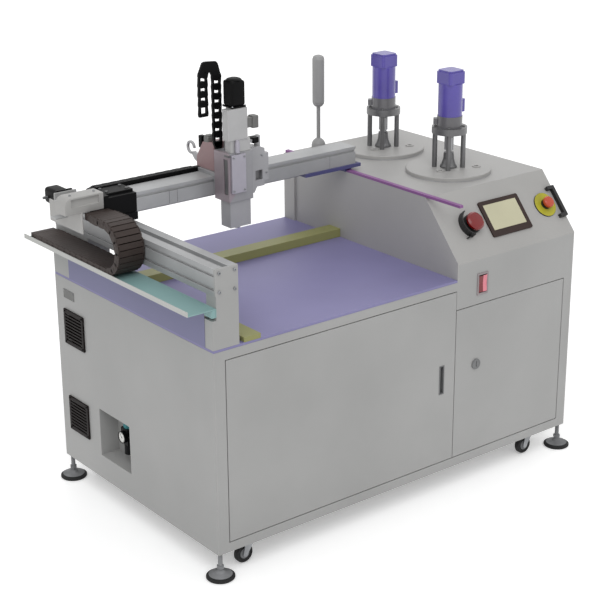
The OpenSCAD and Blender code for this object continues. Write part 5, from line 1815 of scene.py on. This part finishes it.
    def ram_housing(self) -> None:
        """Makes the ram's housing with its side groove, front plate, neck and oiler."""
        body = brick("ram_housing", self.corner, self.body, self.edge)
        groove = brick("groove_cutter", self.corner, self.groove, edge=0)
        dress(cut(body, groove), Zoned("housing_milled", (158, 146, 152), Coat.ANODISED, edge=(188, 188, 190),
                                       other=(154, 154, 157), centre=tuple(self.at(self.rosy_place)),
                                       span=(1, 1, 1), limit=self.rosy_from),
              "head", "machined_metal", "z_housing")
        plate = brick("front_plate", self.corner, self.front, edge=1 * MM)
        dress(plate, FRONT_PLATE, "head", "machined_metal", "z_housing")
        neck = self.upright("housing_neck", self.neck, self.neck_foot, self.neck_height, self.edge)
        dress(neck, LIGHT_PLATE, "head", "machined_metal", "z_housing")
        oiler = turned("oiler_cup", self.at(self.oiler_foot), Axis.Z.value, rings(self.oiler), sides=24)
        dress(oiler, FRONT_PLATE, "head", "machined_metal")

    def drive(self) -> None:
        """Makes the motor's mount with its plug, and the black motor on it."""
        mount = self.upright("motor_mount", self.mount, self.mount_foot, self.mount_height,
                             edge=1.2 * MM)
        dress(mount, LIGHT_PLATE, "head", "machined_metal", "z_motor")
        plug = [brick("motor_plug", self.corner, self.plug_neck, edge=1.5 * MM),
                brick("motor_plug", self.corner, self.plug_body, edge=3 * MM, segments=3)]
        dress(joined("motor_plug", plug), PLATE_GREY, "head", "grey_plastic")
        centre = self.at(self.motor_foot)
        foot = brick("motor_body", centre, self.motor_plate, edge=1.5 * MM)
        lowest, highest = (centre + Vector(place) * MM for place in self.motor_case)
        body = case("motor_body", lowest, highest, self.motor_round)
        cap = turned("motor_body", centre + Vector((0, 0, self.cap_foot)) * MM, Axis.Z.value,
                     rings(self.cap), sides=40)
        dress(joined("motor_body", [foot, body, cap]), BLACK_PAINT, "head", "black_metal", "z_motor")

    def stepped_block(self) -> None:
        """Makes the stepped side block with its pocket and stub."""
        first, last = low("side_block"), high("side_block")
        side = prism("side_plate_block", self.steps, last.y - first.y, Matrix.Translation(first), self.edge)
        pocket = brick("pocket_cutter", first, self.pocket, edge=0)
        dress(cut(side, pocket), MILLED, "head", "machined_metal", "side_block")
        stub = turned("block_stub", first + Vector(self.stub_foot) * MM, Axis.Z.value, rings(self.stub),
                      sides=28)
        dress(stub, MILLED, "head", "machined_metal")

    def chain_link(self, place: Matrix, lifted: bool, windowed: bool) -> Piece:
        """Makes one flat link of the small chain.

        Args:
            place: The place of its pin, with x towards the next one.
            lifted: Whether it lies behind its neighbours.
            windowed: Whether it has a window.

        Returns:
            The link.
        """
        pitch, half, lap = self.link_pitch, self.link_width / 2, self.link_lap
        taper = half - self.link_taper
        outline = [*arc((0, 0), half, *self.link_round, steps=4), (pitch - lap, half), (pitch + lap, taper),
                   (pitch + lap, -taper), (pitch - lap, -half)]
        shift = Matrix.Translation((0, self.link_stagger if lifted else 0, 0))
        link = prism("small_chain", outline, self.link_depth, place @ shift, edge=0.4 * MM, segments=1)
        if not windowed:
            return link
        (back, _, bottom), (front, depth, top) = self.window
        back, front = pitch / 2 + back, pitch / 2 + front
        window = prism("window_cutter", [(back, bottom), (front, bottom), (front, top), (back, top)],
                       depth * MM, place @ Matrix.Translation((0, -self.window_before, 0)),
                       edge=2 * MM)
        return cut(link, window)

    def small_chain(self) -> None:
        """Makes the small cable chain of flat windowed links, standing at its foot behind the housing."""
        foot = Vector((self.corner.x, low("z_chain").y, self.corner.z))
        spot = Vector((self.chain_leg, 0, self.chain_foot))
        links = []
        for number, heading in enumerate([90] * self.rising + [*self.over] + [270] * self.hanging):
            turn = Matrix.Rotation(-math.radians(heading), 4, "Y")
            links.append(self.chain_link(Matrix.Translation(foot + spot * MM) @ turn, number % 2 == 1,
                                         heading not in self.over))
            along, up = math.cos(math.radians(heading)), math.sin(math.radians(heading))
            spot += Vector((along, 0, up)) * self.link_pitch
        half, taper = self.link_width / 2, self.link_taper
        outline = [(-half, 0), (half, 0), (half - taper, -self.tail_shoulder), (taper, -self.tail),
                   (-taper, -self.tail)]
        end = foot + Vector((self.chain_leg, 0, self.chain_foot)) * MM
        tail = prism("small_chain", outline, self.tail_depth, Matrix.Translation(end), edge=0.6 * MM)
        dress(joined("small_chain", [*links, tail]), BLACK, "head", "black_plastic", "z_chain")

    def strips(self) -> None:
        """Lays a dark strip in the housing's side groove as painted shade, and a dark band round its top
        corner as a painted shadow.
        """
        # The dark strip stands for shade in the groove.
        strip = brick("groove_shade_strip", self.corner, self.groove_shade, edge=0.4 * MM)
        dress(strip, DARK_STEEL, "head", "dark_steel")
        # The band round the top corner is a painted shadow.
        band = [brick("housing_shadow_band", self.corner, box, edge=0.2 * MM, segments=1)
                for box in (self.side_shadow_band, self.front_shadow_band)]
        dress(joined("housing_shadow_band", band), DARK_STEEL, "head", "dark_steel")

    def clamp(self) -> None:
        """Hangs the dark hose clamp on the housing's neck."""
        arm = brick("clamp_arm", self.corner, self.clamp_arm, edge=1.2 * MM)
        dress(arm, MILLED, "head", "machined_metal")
        jaw = brick("clamp_jaw", self.corner, self.clamp_jaw, edge=2.5 * MM, segments=3)
        dress(jaw, BLACK, "head", "black_plastic")

    def plugs(self) -> None:
        """Stands two cable plugs on the carriage's cover."""
        rear = brick("cover_plug_rear", self.corner, self.rear_plug, edge=2 * MM, segments=3)
        dress(rear, BLACK, "head", "black_plastic")
        front = [brick("cover_plug_front", self.corner, self.front_plug, edge=2 * MM, segments=3),
                 brick("cover_plug_front", self.corner, self.front_plug_top, edge=3 * MM, segments=3)]
        dress(joined("cover_plug_front", front), PLATE_GREY, "head", "grey_plastic")

    def pocket_shade_sheet(self) -> None:
        """Lays a dark sheet at the back of the side block's square pocket as painted shade in the pocket."""
        shade_sheet = brick("pocket_shade_sheet", low("side_block"), self.shade_sheet, edge=0.3 * MM)
        dress(shade_sheet, DARK_STEEL, "head", "dark_steel")

    def screws(self) -> None:
        """Screws the front plate, the motor and the side block down."""
        first, last = (self.at(place) for place in self.plate_screws)
        screws("front_plate_screws", corners(first, last, 1, low("z_housing").y), Axis.FRONT,
               self.plate_screw, "head")
        motor, reach = self.at((*self.motor_foot[:2], self.motor_screws_at)), self.motor_screws_reach
        screws("motor_screws", corners((motor.x - reach, motor.y - reach), (motor.x + reach, motor.y + reach),
                                       2, motor.z), Axis.Z, self.motor_screw, "head")
        node = low("side_block")
        screws("side_block_screws", [node + Vector(place) * MM for place in self.block_screws],
               Axis.FRONT, self.block_screw, "head")


def main() -> None:
    """Builds the studio and each sub-assembly in order."""
    logging.basicConfig(level=logging.INFO, format="%(name)s: %(message)s")
    bpy.context.scene.view_settings.view_transform = "Standard"
    Studio().build()
    for kind in (Bodywork, StandingGear, Supply, LeftSide, Controls, LeftAxis, Gantry, Head):
        log.info("assembly %s", kind.__name__)
        kind().build()


if __name__ == "__main__":
    main()
